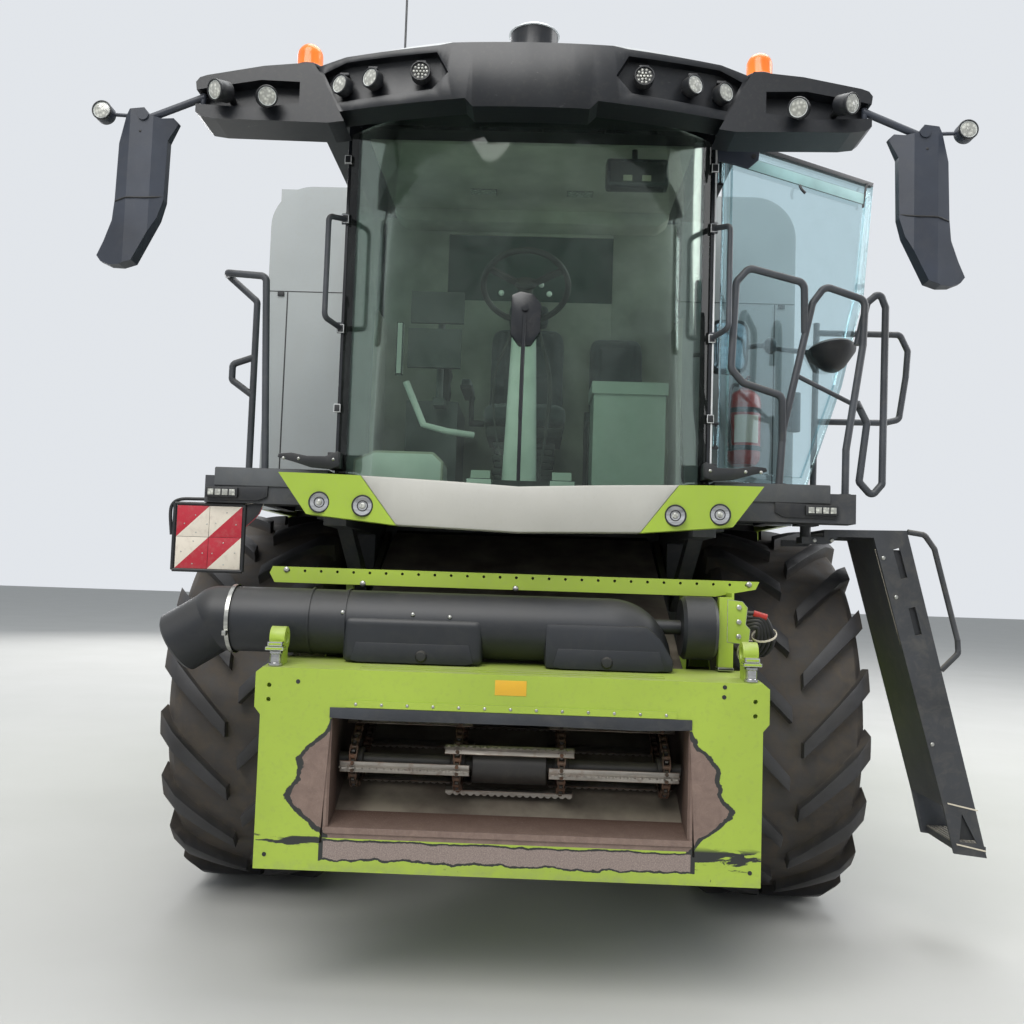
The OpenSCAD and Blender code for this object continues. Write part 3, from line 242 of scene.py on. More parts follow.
def rubber(name, centre_y, centre_z, low, high):
    """Tyre rubber, with soil held between the lugs below the radius high round an axle."""
    g = Graph(name)
    base = (34, 34, 36)
    body = g.mix(g.step(g.noise(3, 5), 0.3, 0.7), base, tuple(c * 1.5 + 8 for c in base))
    patch = g.step(g.noise(11, 6, 0.65, 0.5), 0.4, 0.72)
    radius = g.far((centre_y, centre_z))
    deep = g.step(radius, high, high + 0.04, 1, 0.12)
    inner = g.step(radius, low, low + 0.1, 0.35, 1)
    share = g.times(deep, inner, g.step(patch, 0, 1, 0.25, 0.75))
    look = g.mix(share, body, (96, 86, 74))
    straw = g.step(g.cells(150, g.stretch(1, 1, 0.35)), 0.0, 0.09, 1, 0)
    look = g.mix(g.times(straw, g.step(patch, 0.5, 1, 0, 0.7)), look, (170, 150, 108))
    g.bump(g.plus(g.noise(120, 6, 0.7), g.noise(18, 3)), 0.002, 0.35)
    return g.finish(Base_Color=look, Roughness=g.step(share, 0, 0.6, 0.55, 0.95))


def steel(name, base=(150, 148, 143), rough=0.38, rust=0.2):
    """Bare or plated steel with a brushed grain and rust in patches."""
    g = Graph(name)
    patch = g.step(g.noise(16, 7, 0.7, 0.5), 0.62 - rust * 0.3, 0.78 - rust * 0.3)
    share = g.times(patch, min(1.0, rust * 1.6))
    brushed = g.noise(70, 3, 0.5, 0, g.stretch(0.1, 1, 1))
    body = g.mix(g.step(brushed, 0.35, 0.65), base, tuple(c * 0.82 for c in base))
    look = g.mix(share, body, (104, 72, 52))
    g.bump(brushed, 0.0005, 0.3)
    return g.finish(Base_Color=look, Roughness=g.step(share, 0, 1, rough, 0.85),
                    Metallic=g.step(share, 0, 1, 0.9, 0.1))


def worn_metal(name, base, streak=(92, 76, 66), rough=0.6):
    """Bare metal worn and rusted in streaks."""
    g = Graph(name)
    long = g.noise(13, 6, 0.7, 0.4, g.stretch(0.4, 2, 2))
    fine = g.noise(210, 4, 0.8)
    body = g.mix(g.step(long, 0.3, 0.7), base, streak)
    look = g.mix(g.step(fine, 0.55, 0.7, 0, 0.6), body, tuple(min(255, c * 1.25) for c in base))
    g.bump(fine, 0.0012, 0.5)
    return g.finish(Base_Color=look, Roughness=g.step(long, 0.3, 0.7, rough, rough + 0.25), Metallic=0.25)


def glass(name, tint, film=0.06, dust=0.1, gloss=0.12, edge=None):
    """Tinted pane that lets the lamps through, with a dust film and wiper haze.
    edge is the half width beyond which its rim looks dark."""
    g = Graph(name)
    clear = g.node("BsdfTransparent")
    if edge:
        g.set(clear.inputs[0], g.mix(g.over(g.size(g.axis("X")), edge, 0.004), tint, (34, 48, 50)))
    else:
        clear.inputs[0].default_value = colour(tint)
    haze = g.step(g.noise(5, 6, 0.65, 0.6), 0.35, 0.8, film, film + dust)
    fleck = g.step(g.noise(90, 3, 0.6), 0.66, 0.72, 0, dust)
    share = g.most(haze, fleck)
    g.finish(Base_Color=(176, 186, 182), Roughness=0.9, Specular_IOR_Level=0.2)
    veil = g.node("MixShader", share, clear.outputs[0], g.shader.outputs[0])
    mirror = g.node("BsdfGlossy")
    mirror.inputs["Roughness"].default_value = 0.03
    grazing = g.times(g.node("Fresnel", 1.45).outputs[0], gloss * 8)
    both = g.node("MixShader", grazing, veil.outputs[0], mirror.outputs[0])
    g.tree.links.new(both.outputs[0], g.out.inputs[0])
    return g.material


def lens(name, tint, rough=0.08, ribs=0.0):
    """Moulded lens over a bright reflector."""
    g = Graph(name)
    spots = g.cells(70)
    look = g.mix(g.step(spots, 0.1, 0.6), tint, tuple(c * 0.72 for c in tint))
    g.bump(g.plus(spots, g.noise(300, 2)), 0.001, 0.4 + ribs)
    return g.finish(Base_Color=look, Roughness=rough, Coat_Weight=0.8, Coat_Roughness=0.05,
                    Specular_IOR_Level=0.6)


def cloth(name, base, pitch=900, sheen=0.3):
    """Woven seat cover."""
    g = Graph(name)
    weave = g.times(g.noise(pitch, 1, 0.5, 0, g.stretch(1, 0.2, 1)),
                   g.noise(pitch, 1, 0.5, 0, g.stretch(0.2, 1, 1)))
    look = g.mix(g.step(weave, 0.15, 0.35), tuple(c * 0.7 for c in base), base)
    worn = g.mix(g.step(g.noise(7, 4), 0.5, 0.8, 0, 0.4), look, tuple(min(255, c * 1.4) for c in base))
    g.bump(weave, 0.001, 0.6)
    return g.finish(Base_Color=worn, Roughness=0.9, Sheen_Weight=sheen, Sheen_Roughness=0.5)


def striped(name, x, z):
    """Reflective sheet with slanted red and white bands between two x and two z."""
    g = Graph(name)
    u = g.step(g.axis("X"), *x)
    v = g.step(g.axis("Z"), *z)
    band = g.math("FLOOR", g.times(g.plus(g.minus(v, u), 2.0), 2.0))
    red = g.math("MODULO", band, 2.0)
    grain = g.cells(420)
    wear = g.step(g.noise(30, 6, 0.7), 0.5, 0.75, 0, 0.3)
    look = g.mix(wear, g.mix(red, (222, 212, 196), (178, 22, 44)), (150, 128, 118))
    g.bump(grain, 0.0003, 0.4)
    return g.finish(Base_Color=look, Roughness=0.42, Coat_Weight=0.3, Coat_Roughness=0.2)


def two_tone(name, share_of, low, high, rough=(0.45, 0.4), metal=(0.0, 0.0), dust=0.3):
    """Two finishes on one node, parted by place. share_of(graph) is 1 where the second one shows."""
    g = Graph(name)
    share = share_of(g)
    fade = g.step(g.noise(2.1, 5), 0.35, 0.75)
    first = g.mix(fade, low, tuple(min(255, c * 1.25 + 4) for c in low))
    second = g.mix(fade, high, tuple(c * 0.88 for c in high))
    specks = g.step(g.noise(42, 6, 0.7), 0.5, 0.78, 0, 0.45 * dust)
    top = g.times(g.upward(), g.step(g.noise(6, 4), 0.3, 0.7, 0.2 * dust, dust))
    settled = g.most(specks, top)
    hair = g.step(g.noise(55, 4, 0.6, 1.6, g.stretch(0.25, 1, 1)), 0.7, 0.73, 0, 0.3)
    look = g.mix(g.times(hair, g.step(share, 0, 1, 1, 0.2)),
                 g.mix(settled, g.mix(share, first, second), DUST), (128, 130, 132))
    g.bump(g.noise(340, 2), 0.0005, 0.3)
    return g.finish(Base_Color=look, Roughness=g.most(g.step(share, 0, 1, *rough),
                                                      g.step(settled, 0, 0.6, 0, 0.8)),
                    Metallic=g.step(share, 0, 1, *metal))


def cap_share(g):
    """Cream cap over the line between it and the visor, without the receiver's foot and the aerial."""
    across = g.size(g.axis("X"))
    line = g.most(g.line(across, 0.345, 3.936, -0.1667), g.line(across, 0.405, 3.926, -0.0706))
    line = g.least(line, 3.936, g.line(across, 0.816, 3.897, -0.25))
    foot = g.times(g.over(0.109, g.far((0, -1.25), axes="XY")), g.over(4.1095, g.axis("Z")))
    aerial = g.over(0.03, g.far((-0.58, -1.30), axes="XY"))
    return g.times(g.over(g.axis("Z"), g.plus(line, 0.001)), g.rest(foot),
                  g.over(0.942, across), g.rest(aerial))


def lamp_foot_share(g):
    """Foot of a beacon, as against its lens."""
    return g.over(3.9895, g.axis("Z"))


def chain_share(g):
    """Chains, drum and shafts, as against the slats."""
    pitch = 1.24 / 3
    place = g.plus(g.axis("X"), 0.62, pitch * 2.5)
    off = g.size(g.minus(g.math("MODULO", place, pitch), pitch / 2))
    return g.most(g.over(0.0205, off), g.over(0.077, g.far((-1.545, 0.896), (-0.402, 1.505))))


def channel_share(g):
    """Inside of the feeder channel, between its walls, roof and floor."""
    y, z = g.axis("Y"), g.axis("Z")
    mouth_y, mouth_z, slope = -1.7, 0.933, 0.4348
    roof = g.line(y, mouth_y, mouth_z + 0.2126 + 0.004, slope)
    lid = g.over(z, g.line(y, mouth_y, mouth_z + 0.2344 - 0.003, slope))
    floor = g.least(g.line(y, mouth_y, mouth_z - 0.2126 - 0.004, slope), g.line(y, -1.6, 0.701, 0.533))
    inside = g.times(g.over(0.6908, g.size(g.axis("X")), 0.0004), g.over(roof, z), g.over(z, floor))
    return g.most(inside, lid)


def pale_share(g):
    """Cooler box, tray side and pedals, as against the console and its monitors."""
    cooler = g.times(g.over(g.axis("X"), 0.3), g.over(2.622, g.axis("Z")))
    return g.most(cooler, g.over(-0.9, g.axis("Y")))


def worn_face(name, base):
    """Lime front of the feeder with the crop's wear: torn dark edges round bare brown metal, with painted
    shade that deepens into the mouth.
    """
    g = Graph(name)
    x, y, z = (g.axis(a) for a in "XYZ")
    across = g.size(x)
    torn = g.times(g.minus(g.noise(13, 6, 0.52, 0.2), 0.5), 0.085)
    reach = g.ramp(g.step(z, 0.6, 1.1), (0.0, 0.0), (0.09, 0.12), (0.17, 0.3), (0.25, 0.62), (0.32, 0.85),
                   (0.37, 0.9), (0.5, 0.62), (0.66, 0.6), (0.78, 0.36), (0.87, 0.1), (0.96, 0.0))
    wide = g.plus(g.times(reach, 0.185), 0.682)
    past = g.plus(g.minus(across, wide), torn)
    beside = g.times(g.over(z, 0.63), g.over(1.085, z))
    lip_low = g.plus(0.553, g.times(torn, 0.55))
    lip_high = g.plus(0.618, g.times(torn, 0.35))
    lip = g.times(g.over(z, lip_low), g.over(lip_high, z), g.over(0.705, across))
    near_lip = g.times(g.over(z, g.minus(lip_low, 0.008)), g.over(g.plus(lip_high, 0.007), z),
                      g.over(0.722, across))
    inner = g.times(g.over(y, -1.7425), g.over(0.7, across), g.over(1.1165, z), g.over(z, 0.6))
    mouth = g.times(g.over(0.0, past, 0.002), beside)
    bare = g.most(mouth, lip, inner)
    rim = g.most(g.times(g.over(0.024, past, 0.003), beside), near_lip)
    corner = g.times(g.over(0.155, g.far((0.84, 0.605), (-0.84, 0.60), axes="XZ")), g.over(0.66, z))
    band = g.over(0.05, g.size(g.minus(z, 0.60)), 0.02)
    cracks = g.times(band, g.step(g.noise(9, 6, 0.62, 0.3, g.stretch(0.28, 1, 1.5)), 0.53, 0.55))
    chips = g.step(g.noise(26, 8, 0.75), 0.665, 0.685)
    rim = g.most(rim, g.times(corner, g.most(cracks, g.step(g.noise(22, 6, 0.7), 0.68, 0.70))))
    rim = g.most(rim, g.times(chips, g.over(0.66, z), g.over(0.9, across)))
    stain = g.times(g.over(0.548, z, 0.03), g.step(g.noise(14, 6, 0.7), 0.4, 0.75, 0, 0.45))
    faded = g.mix(g.step(g.noise(1.9, 4), 0.35, 0.7), base, tuple(c * 0.93 for c in base))
    dirty = g.mix(g.step(g.noise(48, 6, 0.72), 0.52, 0.8, 0, 0.28), faded, (118, 122, 84))
    painted = g.mix(g.times(g.upward(), g.step(g.noise(7, 5), 0.3, 0.7, 0.1, 0.45)), dirty, DUST)
    painted = g.mix(stain, painted, (120, 120, 108))
    fine = g.noise(230, 5, 0.8)
    long = g.noise(15, 6, 0.72, 0.6)
    brown = g.mix(g.step(long, 0.3, 0.7), (140, 119, 108), (116, 97, 88))
    lip_look = g.mix(g.step(fine, 0.35, 0.66), (168, 152, 144), (112, 98, 92))
    brown = g.mix(lip, brown, lip_look)
    # Painted shade: inside the mouth the bare brown metal darkens to (72, 52, 42) the deeper it lies behind
    # the face.
    brown = g.mix(g.times(inner, g.step(y, -1.744, -1.6, 0.45, 1.0)), brown, (72, 52, 42))
    look = g.mix(bare, g.mix(rim, painted, (42, 44, 42)),
                 g.mix(g.step(fine, 0.56, 0.7, 0, 0.35), brown, (178, 166, 158)))
    depth = g.minus(g.times(fine, 0.35), g.times(rim, 1.0))
    g.bump(depth, 0.0012, 0.5)
    return g.finish(Base_Color=look, Roughness=g.step(rim, 0, 1, 0.45, 0.72), Metallic=g.times(bare, 0.25),
                    Coat_Weight=0.06, Coat_Roughness=0.35)


# Shapes

class Shape:
    """Collects solids in one mesh. Each new face takes the material last chosen."""

    def __init__(self, material):
        self.mesh = bmesh.new()
        self.materials = [material]
        self.index = 0

    def use(self, material):
        if material not in self.materials:
            self.materials.append(material)
        self.index = self.materials.index(material)
        return self

    def add(self, points, faces, turn=None):
        made = [self.mesh.verts.new(turn @ Vector(p) if turn else p) for p in points]
        out = []
        for face in faces:
            new = self.mesh.faces.new([made[i] for i in face])
            new.material_index = self.index
            out.append(new)
        return out

    def soften(self, faces, width, segments=2):
        """Rounds the sharp edges of what was just added."""
        self.mesh.normal_update()
        edges = {e for f in faces for e in f.edges}
        sharp = [e for e in edges if len(e.link_faces) == 2 and e.calc_face_angle() > 0.35]
        if width and sharp:
            bmesh.ops.bevel(self.mesh, geom=sharp, offset=width, segments=segments, profile=0.6,
                            affect="EDGES", clamp_overlap=True)

    def block(self, x, y, z, soft=0.004, turn=None, segments=2):
        """Box between pairs of x, y and z."""
        points = [(x[i], y[j], z[k]) for i in (0, 1) for j in (0, 1) for k in (0, 1)]
        faces = [(0, 1, 3, 2), (4, 6, 7, 5), (0, 4, 5, 1), (2, 3, 7, 6), (0, 2, 6, 4), (1, 5, 7, 3)]
        self.soften(self.add(points, faces, turn), soft, segments)
        return self

    def plate(self, outline, low, high, plane="xz", soft=0.003, turn=None):
        """Outline in a plane, extruded along the third axis from low to high."""
        order = {"xz": lambda p, t: (p[0], t, p[1]), "yz": lambda p, t: (t, p[0], p[1]),
                 "xy": lambda p, t: (p[0], p[1], t)}[plane]
        area = sum(a[0] * b[1] - b[0] * a[1] for a, b in zip(outline, outline[1:] + outline[:1]))
        if (area > 0) == (plane == "xz"):
            outline = outline[::-1]
        n = len(outline)
        points = [order(p, t) for t in (low, high) for p in outline]
        sides = [(i, (i + 1) % n, n + (i + 1) % n, n + i) for i in range(n)]
        faces = [tuple(range(n))[::-1], tuple(range(n, 2 * n))] + sides
        self.soften(self.add(points, faces, turn), soft)
        return self

    def rings(self, rings, turn=None):
        """Closed skin over rings of equally many points."""
        n = len(rings[0])
        points = [p for ring in rings for p in ring]
        count = len(rings)
        faces = []
        for i in range(count - 1):
            a, b = i * n, (i + 1) * n
            faces += [(a + j, a + (j + 1) % n, b + (j + 1) % n, b + j) for j in range(n)]
        faces += [tuple(range(n))[::-1], tuple(range((count - 1) * n, count * n))]
        self.add(points, faces, turn)
        return self

    def lathe(self, profile, centre, axis, sides=48, closed=False):
        """Turns a profile of (radius, along) about an axis through centre."""
        turn = Matrix.Translation(centre) @ Vector(axis).to_track_quat("Z", "Y").to_matrix().to_4x4()
        rings = [[(r * math.cos(a), r * math.sin(a), h) for r, h in profile]
                 for a in angles(sides)]
        n = len(profile)
        points = [p for ring in rings for p in ring]
        spans = range(n if closed else n - 1)
        faces = [(i * n + j, (i + 1) % sides * n + j, (i + 1) % sides * n + (j + 1) % n, i * n + (j + 1) % n)
                 for i in range(sides) for j in spans]
        self.add(points, faces, turn)
        return self

    def bar(self, a, b, radius, sides=20, soft=0.0):
        """Round bar from a to b."""
        a, b = Vector(a), Vector(b)
        long = (b - a).length
        edge = min(soft, radius * 0.5) or radius * 0.08
        profile = [(0, 0), (radius - edge, 0), (radius, edge), (radius, long - edge),
                   (radius - edge, long), (0, long)]
        return self.lathe(profile, a, b - a, sides)

    def ball(self, centre, radius, flat=1.0, axis=(0, 0, 1), start=-90, sides=32, steps=12):
        """Ball or dome turned about an axis, flattened along it."""
        angles = [math.radians(start + (90 - start) * i / steps) for i in range(steps + 1)]
        profile = [(radius * math.cos(a), radius * flat * math.sin(a)) for a in angles]
        if start > -90:
            profile.insert(0, (0, profile[0][1]))
        return self.lathe(profile, centre, axis, sides)

    def tube(self, points, radius, sides=12):
        """Round tube through points."""
        pts = [Vector(p) for p in points]
        rings = []
        side = None
        for i, p in enumerate(pts):
            way = (pts[min(i + 1, len(pts) - 1)] - pts[max(i - 1, 0)]).normalized()
            side = side or way.orthogonal().normalized()
            side = (side - way * side.dot(way)).normalized()
            up = way.cross(side)
            rings.append([p + (side * math.cos(a) + up * math.sin(a)) * radius
                          for a in angles(sides)])
        return self.rings(rings)

    def hose(self, points, radius, sides=12, steps=6):
        """Round tube on a smooth curve through points."""
        return self.tube(curve_through(points, steps), radius, sides)

    def piece(self, name, body, replaces=(), smooth=40):
        """Makes the object and lets it ride on a body."""
        bmesh.ops.remove_doubles(self.mesh, verts=self.mesh.verts, dist=0.00005)
        bmesh.ops.dissolve_degenerate(self.mesh, dist=0.00001, edges=self.mesh.edges)
        bmesh.ops.recalc_face_normals(self.mesh, faces=self.mesh.faces)
        self.mesh.transform(Matrix.Translation(ORIGIN))
        data = bpy.data.meshes.new(name)
        for face in self.mesh.faces:
            face.smooth = True
        self.mesh.to_mesh(data)
        self.mesh.free()
        data.set_sharp_from_angle(angle=math.radians(smooth))
        for material in self.materials:
            data.materials.append(material)
        made = bpy.data.objects.new(name, data)
        bpy.context.scene.collection.objects.link(made)
        if body:
            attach(made, body)
        if replaces:
            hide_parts(*replaces)
        return made


def round_edges(obj, width, segments=2):
    """Rounds the sharp edges of an object without changing its mesh."""
    weld = obj.modifiers.new("weld", "WELD")
    weld.merge_threshold = 0.00002
    bevel = obj.modifiers.new("bevel", "BEVEL")
    bevel.width = width
    bevel.segments = segments
    bevel.limit_method = "ANGLE"
    bevel.angle_limit = math.radians(35)
    bevel.harden_normals = True


def about(middle, half):
    """Low and high of a span from its middle and half width."""
    return middle - half, middle + half


def angles(count):
    """Angles of count even steps round a circle."""
    return [2 * math.pi * i / count for i in range(count)]


def squarish(value, power):
    """Sine or cosine bent toward a square: the smaller the power, the squarer."""
    return math.copysign(abs(value) ** power, value)


def disc(radius, thick):
    """Profile of a disc."""
    return [(0, 0), (radius, 0), (radius, thick), (0, thick)]


def corners(low_a, high_a, low_b, high_b):
    """Rectangle, as a plate's outline or a flat ring's profile."""
    return [(low_a, low_b), (high_a, low_b), (high_a, high_b), (low_a, high_b)]


def curve_through(points, steps=6):
    """Smooth curve through points, as a list of vectors."""
    pts = [Vector(p) for p in points]
    pts = [pts[0] * 2 - pts[1]] + pts + [pts[-1] * 2 - pts[-2]]
    out = []
    for i in range(1, len(pts) - 2):
        p0, p1, p2, p3 = pts[i - 1:i + 3]
        for k in range(steps):
            t = k / steps
            out.append(0.5 * (2 * p1 + (p2 - p0) * t + (2 * p0 - 5 * p1 + 4 * p2 - p3) * t ** 2
                              + (3 * p1 - p0 - 3 * p2 + p3) * t ** 3))
    return out + [pts[-2]]


# Materials

LIME = paint("lime_paint", (166, 190, 62), 0.38, 0.3, 0.9)
LIME_FRAME = paint("lime_frame_paint", (160, 186, 58), 0.42, 0.35, 0.92, chips=0.02,
                   chip_colour=(60, 58, 48))
WHITE = paint("white_paint", (184, 182, 174), 0.36, 0.25, 0.94)
TANK = paint("tank_paint", (160, 165, 165), 0.45, 0.3, 0.95)
BLACK = plastic("black_plastic", (18, 20, 24), 0.45, 0.2)
GLOSS = plastic("gloss_black", (13, 16, 21), 0.22, 0.16, 200)
FRAME = plastic("dark_frame", (44, 46, 50), 0.55, 0.5)
RAIL = plastic("rail_paint", (48, 51, 56), 0.48, 0.3)
DUCT = plastic("duct_plastic", (17, 20, 25), 0.46, 0.12)
MIRROR_SHELL = plastic("mirror_shell", (34, 39, 49), 0.5, 0.14)
TRIM = plastic("cab_trim", (62, 64, 66), 0.7, 0.3)
DARK_TRIM = plastic("dark_trim", (24, 25, 27), 0.6, 0.2)
STEEL = steel("slat_steel", (168, 162, 154), 0.42, 0.3)
CHROME = steel("chrome", (205, 205, 205), 0.14, 0.0)
CHAIN = steel("chain_steel", (92, 80, 70), 0.55, 0.55)
ZINC = steel("zinc", (188, 188, 182), 0.3, 0.05)
RUSTY = worn_metal("worn_floor", (112, 84, 72), (70, 56, 48))
GLASS = glass("cab_glass", (228, 238, 231), 0.012, 0.05, 0.06, edge=0.815)
SIDE_GLASS = glass("side_glass", (205, 226, 220), 0.02, 0.05, 0.09)
DOOR_GLASS = glass("door_glass", (234, 247, 250), 0.02, 0.04, 0.05)
LENS = lens("lamp_lens", (216, 216, 206), 0.1)
RED = paint("red_paint", (178, 34, 26), 0.3, 0.2, 0.85)
YELLOW = paint("yellow_plate", (224, 172, 40), 0.45, 0.2, 0.95)
SEAT = cloth("seat_cloth", (74, 80, 84))
PALE = plastic("pale_plastic", (196, 204, 198), 0.5, 0.2)
HOSE = plastic("hose_rubber", (24, 25, 27), 0.6, 0.3, 260)
CAST = steel("cast_iron", (84, 84, 84), 0.7, 0.3)
FRONT_RUBBER = rubber("front_rubber", 0, FRONT_R, FRONT_R * 0.5, FRONT_R * 0.945)
REAR_RUBBER = rubber("rear_rubber", REAR_Y, REAR_R, REAR_R * 0.5, REAR_R * 0.93)
FLAP = plastic("rubber_flap", (40, 43, 48), 0.65, 0.3)

ROOF = two_tone("roof_plastic", cap_share, (9, 12, 17), (214, 217, 218), (0.38, 0.4), dust=0.1)
BEACON = two_tone("beacon_lens", lamp_foot_share, (244, 106, 26), (34, 35, 37), (0.22, 0.5), dust=0.12)
CONVEYOR = two_tone("conveyor_steel", chain_share, (164, 158, 150), (62, 50, 43), (0.42, 0.62),
                    (0.75, 0.35), 0.4)
HOUSING = two_tone("feeder_paint", channel_share, (158, 184, 58), (58, 46, 40), (0.42, 0.75), dust=0.45)
FACE = worn_face("feeder_face", (163, 186, 66))
BOARD = striped("board_sheet", (-1.583, -1.283), (1.648, 1.938))
RED_LENS = lens("red_lens", (176, 20, 18), 0.2, 0.2)
DRUM = plastic("drum_paint", (26, 24, 23), 0.5, 0.3, 200)
LABEL = paint("blank_label", (216, 206, 186), 0.5, 0.2, 0.95)
LIME_BRIGHT = paint("lime_bumper", (162, 188, 60), 0.36, 0.25, 0.94)
HEADLINER = plastic("headliner", (150, 148, 138), 0.85, 0.15, 700)
SCREEN = plastic("screen_glass", (20, 26, 32), 0.15, 0.1, 60)
BLIND = plastic("sun_blind", (118, 150, 150), 0.5, 0.1)
PALE_TRIM = plastic("pillar_strip", (196, 198, 198), 0.35, 0.1)
MIRROR_GLASS = steel("mirror_glass", (190, 198, 204), 0.05, 0.0)
CONSOLE = two_tone("console_plastic", pale_share, (52, 55, 57), (186, 196, 190), (0.5, 0.5), dust=0.3)
DOOR_EDGE = glass("door_rim", (232, 246, 249), 0.02, 0.04, 0.05)


# Camera, floor and light

LENS_MM = 35.16
EYE = Vector((0.070, -5.65, 1.65))
YAW, PITCH, ROLL = (math.radians(a) for a in (1.31, 3.78, 1.88))


def make_camera():
    data = bpy.data.cameras.new("camera")
    data.lens = LENS_MM
    data.sensor_width = 36
    data.clip_end = 200
    made = bpy.data.objects.new("camera", data)
    ahead = Vector((-math.sin(YAW) * math.cos(PITCH), math.cos(YAW) * math.cos(PITCH), math.sin(PITCH)))
    right = Vector((math.cos(YAW), math.sin(YAW), 0))
    above = right.cross(ahead)
    side = math.cos(ROLL) * right + math.sin(ROLL) * above
    up = math.cos(ROLL) * above - math.sin(ROLL) * right
    turn = Matrix((side, up, -ahead)).transposed().to_4x4()
    made.matrix_world = Matrix.Translation(EYE + ORIGIN) @ turn
    bpy.context.scene.collection.objects.link(made)
    bpy.context.scene.camera = made


def seen_directly(tree):
    """1 for rays of the camera, a reflection or glass, 0 for those that light a surface."""
    path = tree.nodes.new("ShaderNodeLightPath")
    total = None
    for name in ("Is Camera Ray", "Is Glossy Ray", "Is Transmission Ray"):
        if total is None:
            total = path.outputs[name]
            continue
        joined = tree.nodes.new("ShaderNodeMath")
        joined.operation = "MAXIMUM"
        tree.links.new(total, joined.inputs[0])
        tree.links.new(path.outputs[name], joined.inputs[1])
        total = joined.outputs[0]
    return total


def background(tree, tint, level):
    made = tree.nodes.new("ShaderNodeBackground")
    made.inputs[0].default_value = (*tint, 1)
    made.inputs[1].default_value = level
    return made


def make_world():
    world = bpy.data.worlds.new("world")
    world.use_nodes = True
    bpy.context.scene.world = world
    tree = world.node_tree
    tree.nodes.clear()
    out = tree.nodes.new("ShaderNodeOutputWorld")
    light = background(tree, (0.86, 0.93, 1.0), 0.62)
    shown = background(tree, (0.80, 0.83, 0.87), 0.95)
    mix = tree.nodes.new("ShaderNodeMixShader")
    tree.links.new(seen_directly(tree), mix.inputs[0])
    tree.links.new(light.outputs[0], mix.inputs[1])
    tree.links.new(shown.outputs[0], mix.inputs[2])
    tree.links.new(mix.outputs[0], out.inputs[0])


def make_floor():
    floor = bpy.data.meshes.new("floor")
    reach = 60
    floor.from_pydata([(-reach, -reach, 0), (reach, -reach, 0), (reach, reach, 0), (-reach, reach, 0)], [],
                      [(0, 1, 2, 3)])
    made = bpy.data.objects.new("floor", floor)
    g = Graph("floor")
    g.finish(Base_Color=g.mix(g.noise(0.8, 4), (176, 175, 171), (186, 185, 182)), Roughness=0.9,
             Specular_IOR_Level=0.1)
    floor.materials.append(g.material)
    bpy.context.scene.collection.objects.link(made)


def lamp(name, place, target, size, power, tint=(1, 1, 1)):
    """Disc of light at a place, aimed at a target."""
    data = bpy.data.lights.new(name, "AREA")
    data.shape = "DISK"
    data.size = size
    data.energy = power
    data.color = tint
    made = bpy.data.objects.new(name, data)
    way = Vector(target) - Vector(place)
    made.matrix_world = (Matrix.Translation(Vector(place) + ORIGIN)
                         @ way.to_track_quat("-Z", "Y").to_matrix().to_4x4())
    bpy.context.scene.collection.objects.link(made)


bpy.context.scene.view_settings.view_transform = "Standard"
make_camera()
make_world()
make_floor()
lamp("sky_front", (-3, -9, 12), (0, 1, 1.5), 10, 1500, (1, 0.99, 0.97))
lamp("sky_top", (2, 3, 16), (0, 3, 1), 14, 1900, (0.96, 0.98, 1))
lamp("sky_back", (-8, 16, 9), (0, 4, 2), 10, 1300)
lamp("sky_left", (13, 3, 8), (0, 2, 2), 10, 1000)


# Looks of the CAD nodes: finish, width of the rounded edges, and names

NODE_LOOKS = (
    (FRAME, 0.004, "chassis_frame lift_base platforms"),
    (FRAME, 0.006, "front_axle rear_axle separator_body"),
    (FRAME, 0.003, "panel_braces straw_chopper tow_hitch knuckle_left knuckle_right"),
    (TANK, 0.008, "grain_tank"),
    (LIME, 0.006, "side_panels"),
    (CAST, 0.01, "engine"),
    (BLACK, 0.012, "engine_hood"),
    (TANK, 0.012, "rear_hood"),
    (RED_LENS, 0.006, "rear_lamps"),
    (FRAME, 0, "rear_ladder"),
    (RAIL, 0, "deck_rails handrails"),
    (GLOSS, 0.003, "cab_body"),
    (ROOF, 0.004, "cab_roof"),
    (GLASS, 0, "windscreen"),
    (SIDE_GLASS, 0, "cab_windows"),
    (DARK_TRIM, 0.003, "steering_column"),
    (CONSOLE, 0.005, "cab_console"),
    (WHITE, 0.006, "bumper_centre"),
    (LIME_BRIGHT, 0, "bumper_ends"),
    (BLACK, 0.003, "work_lamps lift_barrel_left lift_barrel_right"),
    (BEACON, 0.004, "beacons"),
    (MIRROR_SHELL, 0.006, "mirrors"),
    (BLACK, 0.002, "warning_board"),
    (RED, 0.02, "fire_extinguisher"),
    (FRONT_RUBBER, 0.004, "tyre_front_left tyre_front_right"),
    (REAR_RUBBER, 0.004, "tyre_rear_left tyre_rear_right"),
    (LIME, 0.003, "rim_front_left rim_front_right rim_rear_left rim_rear_right"),
    (FRAME, 0.002, "tie_rod ladder"),
    (HOUSING, 0.004, "feeder_housing"),
    (FACE, 0.003, "feeder_frame"),
    (CONVEYOR, 0.0012, "feed_conveyor"),
    (DUCT, 0.004, "dust_duct"),
    (LIME, 0.002, "feeder_guard"),
    (CHROME, 0.002, "lift_rod_left lift_rod_right"),
    (TANK, 0.004, "auger_tube"),
    (FLAP, 0.004, "auger_boot"),
    (BLACK, 0.006, "tank_lid_left tank_lid_right"),
    (DOOR_EDGE, 0.002, "cab_door"),
    (DOOR_GLASS, 0, "door_glass"),
)
for material, width, names in NODE_LOOKS:
    for name in names.split():
        node = NODES[name]
        node.data.materials.clear()
        node.data.materials.append(material)
        if width:
            round_edges(node, width)


# Feeder front, with the y of its frame's face

FRONT = -1.744

s = Shape(ZINC)
for i in range(13):
    s.ball((-0.6 + i * 0.1, FRONT - 0.006, 1.143), 0.0065, 0.55, (0, -1, 0), 0, 12, 4)
s.piece("strip_rivets", "feeder")

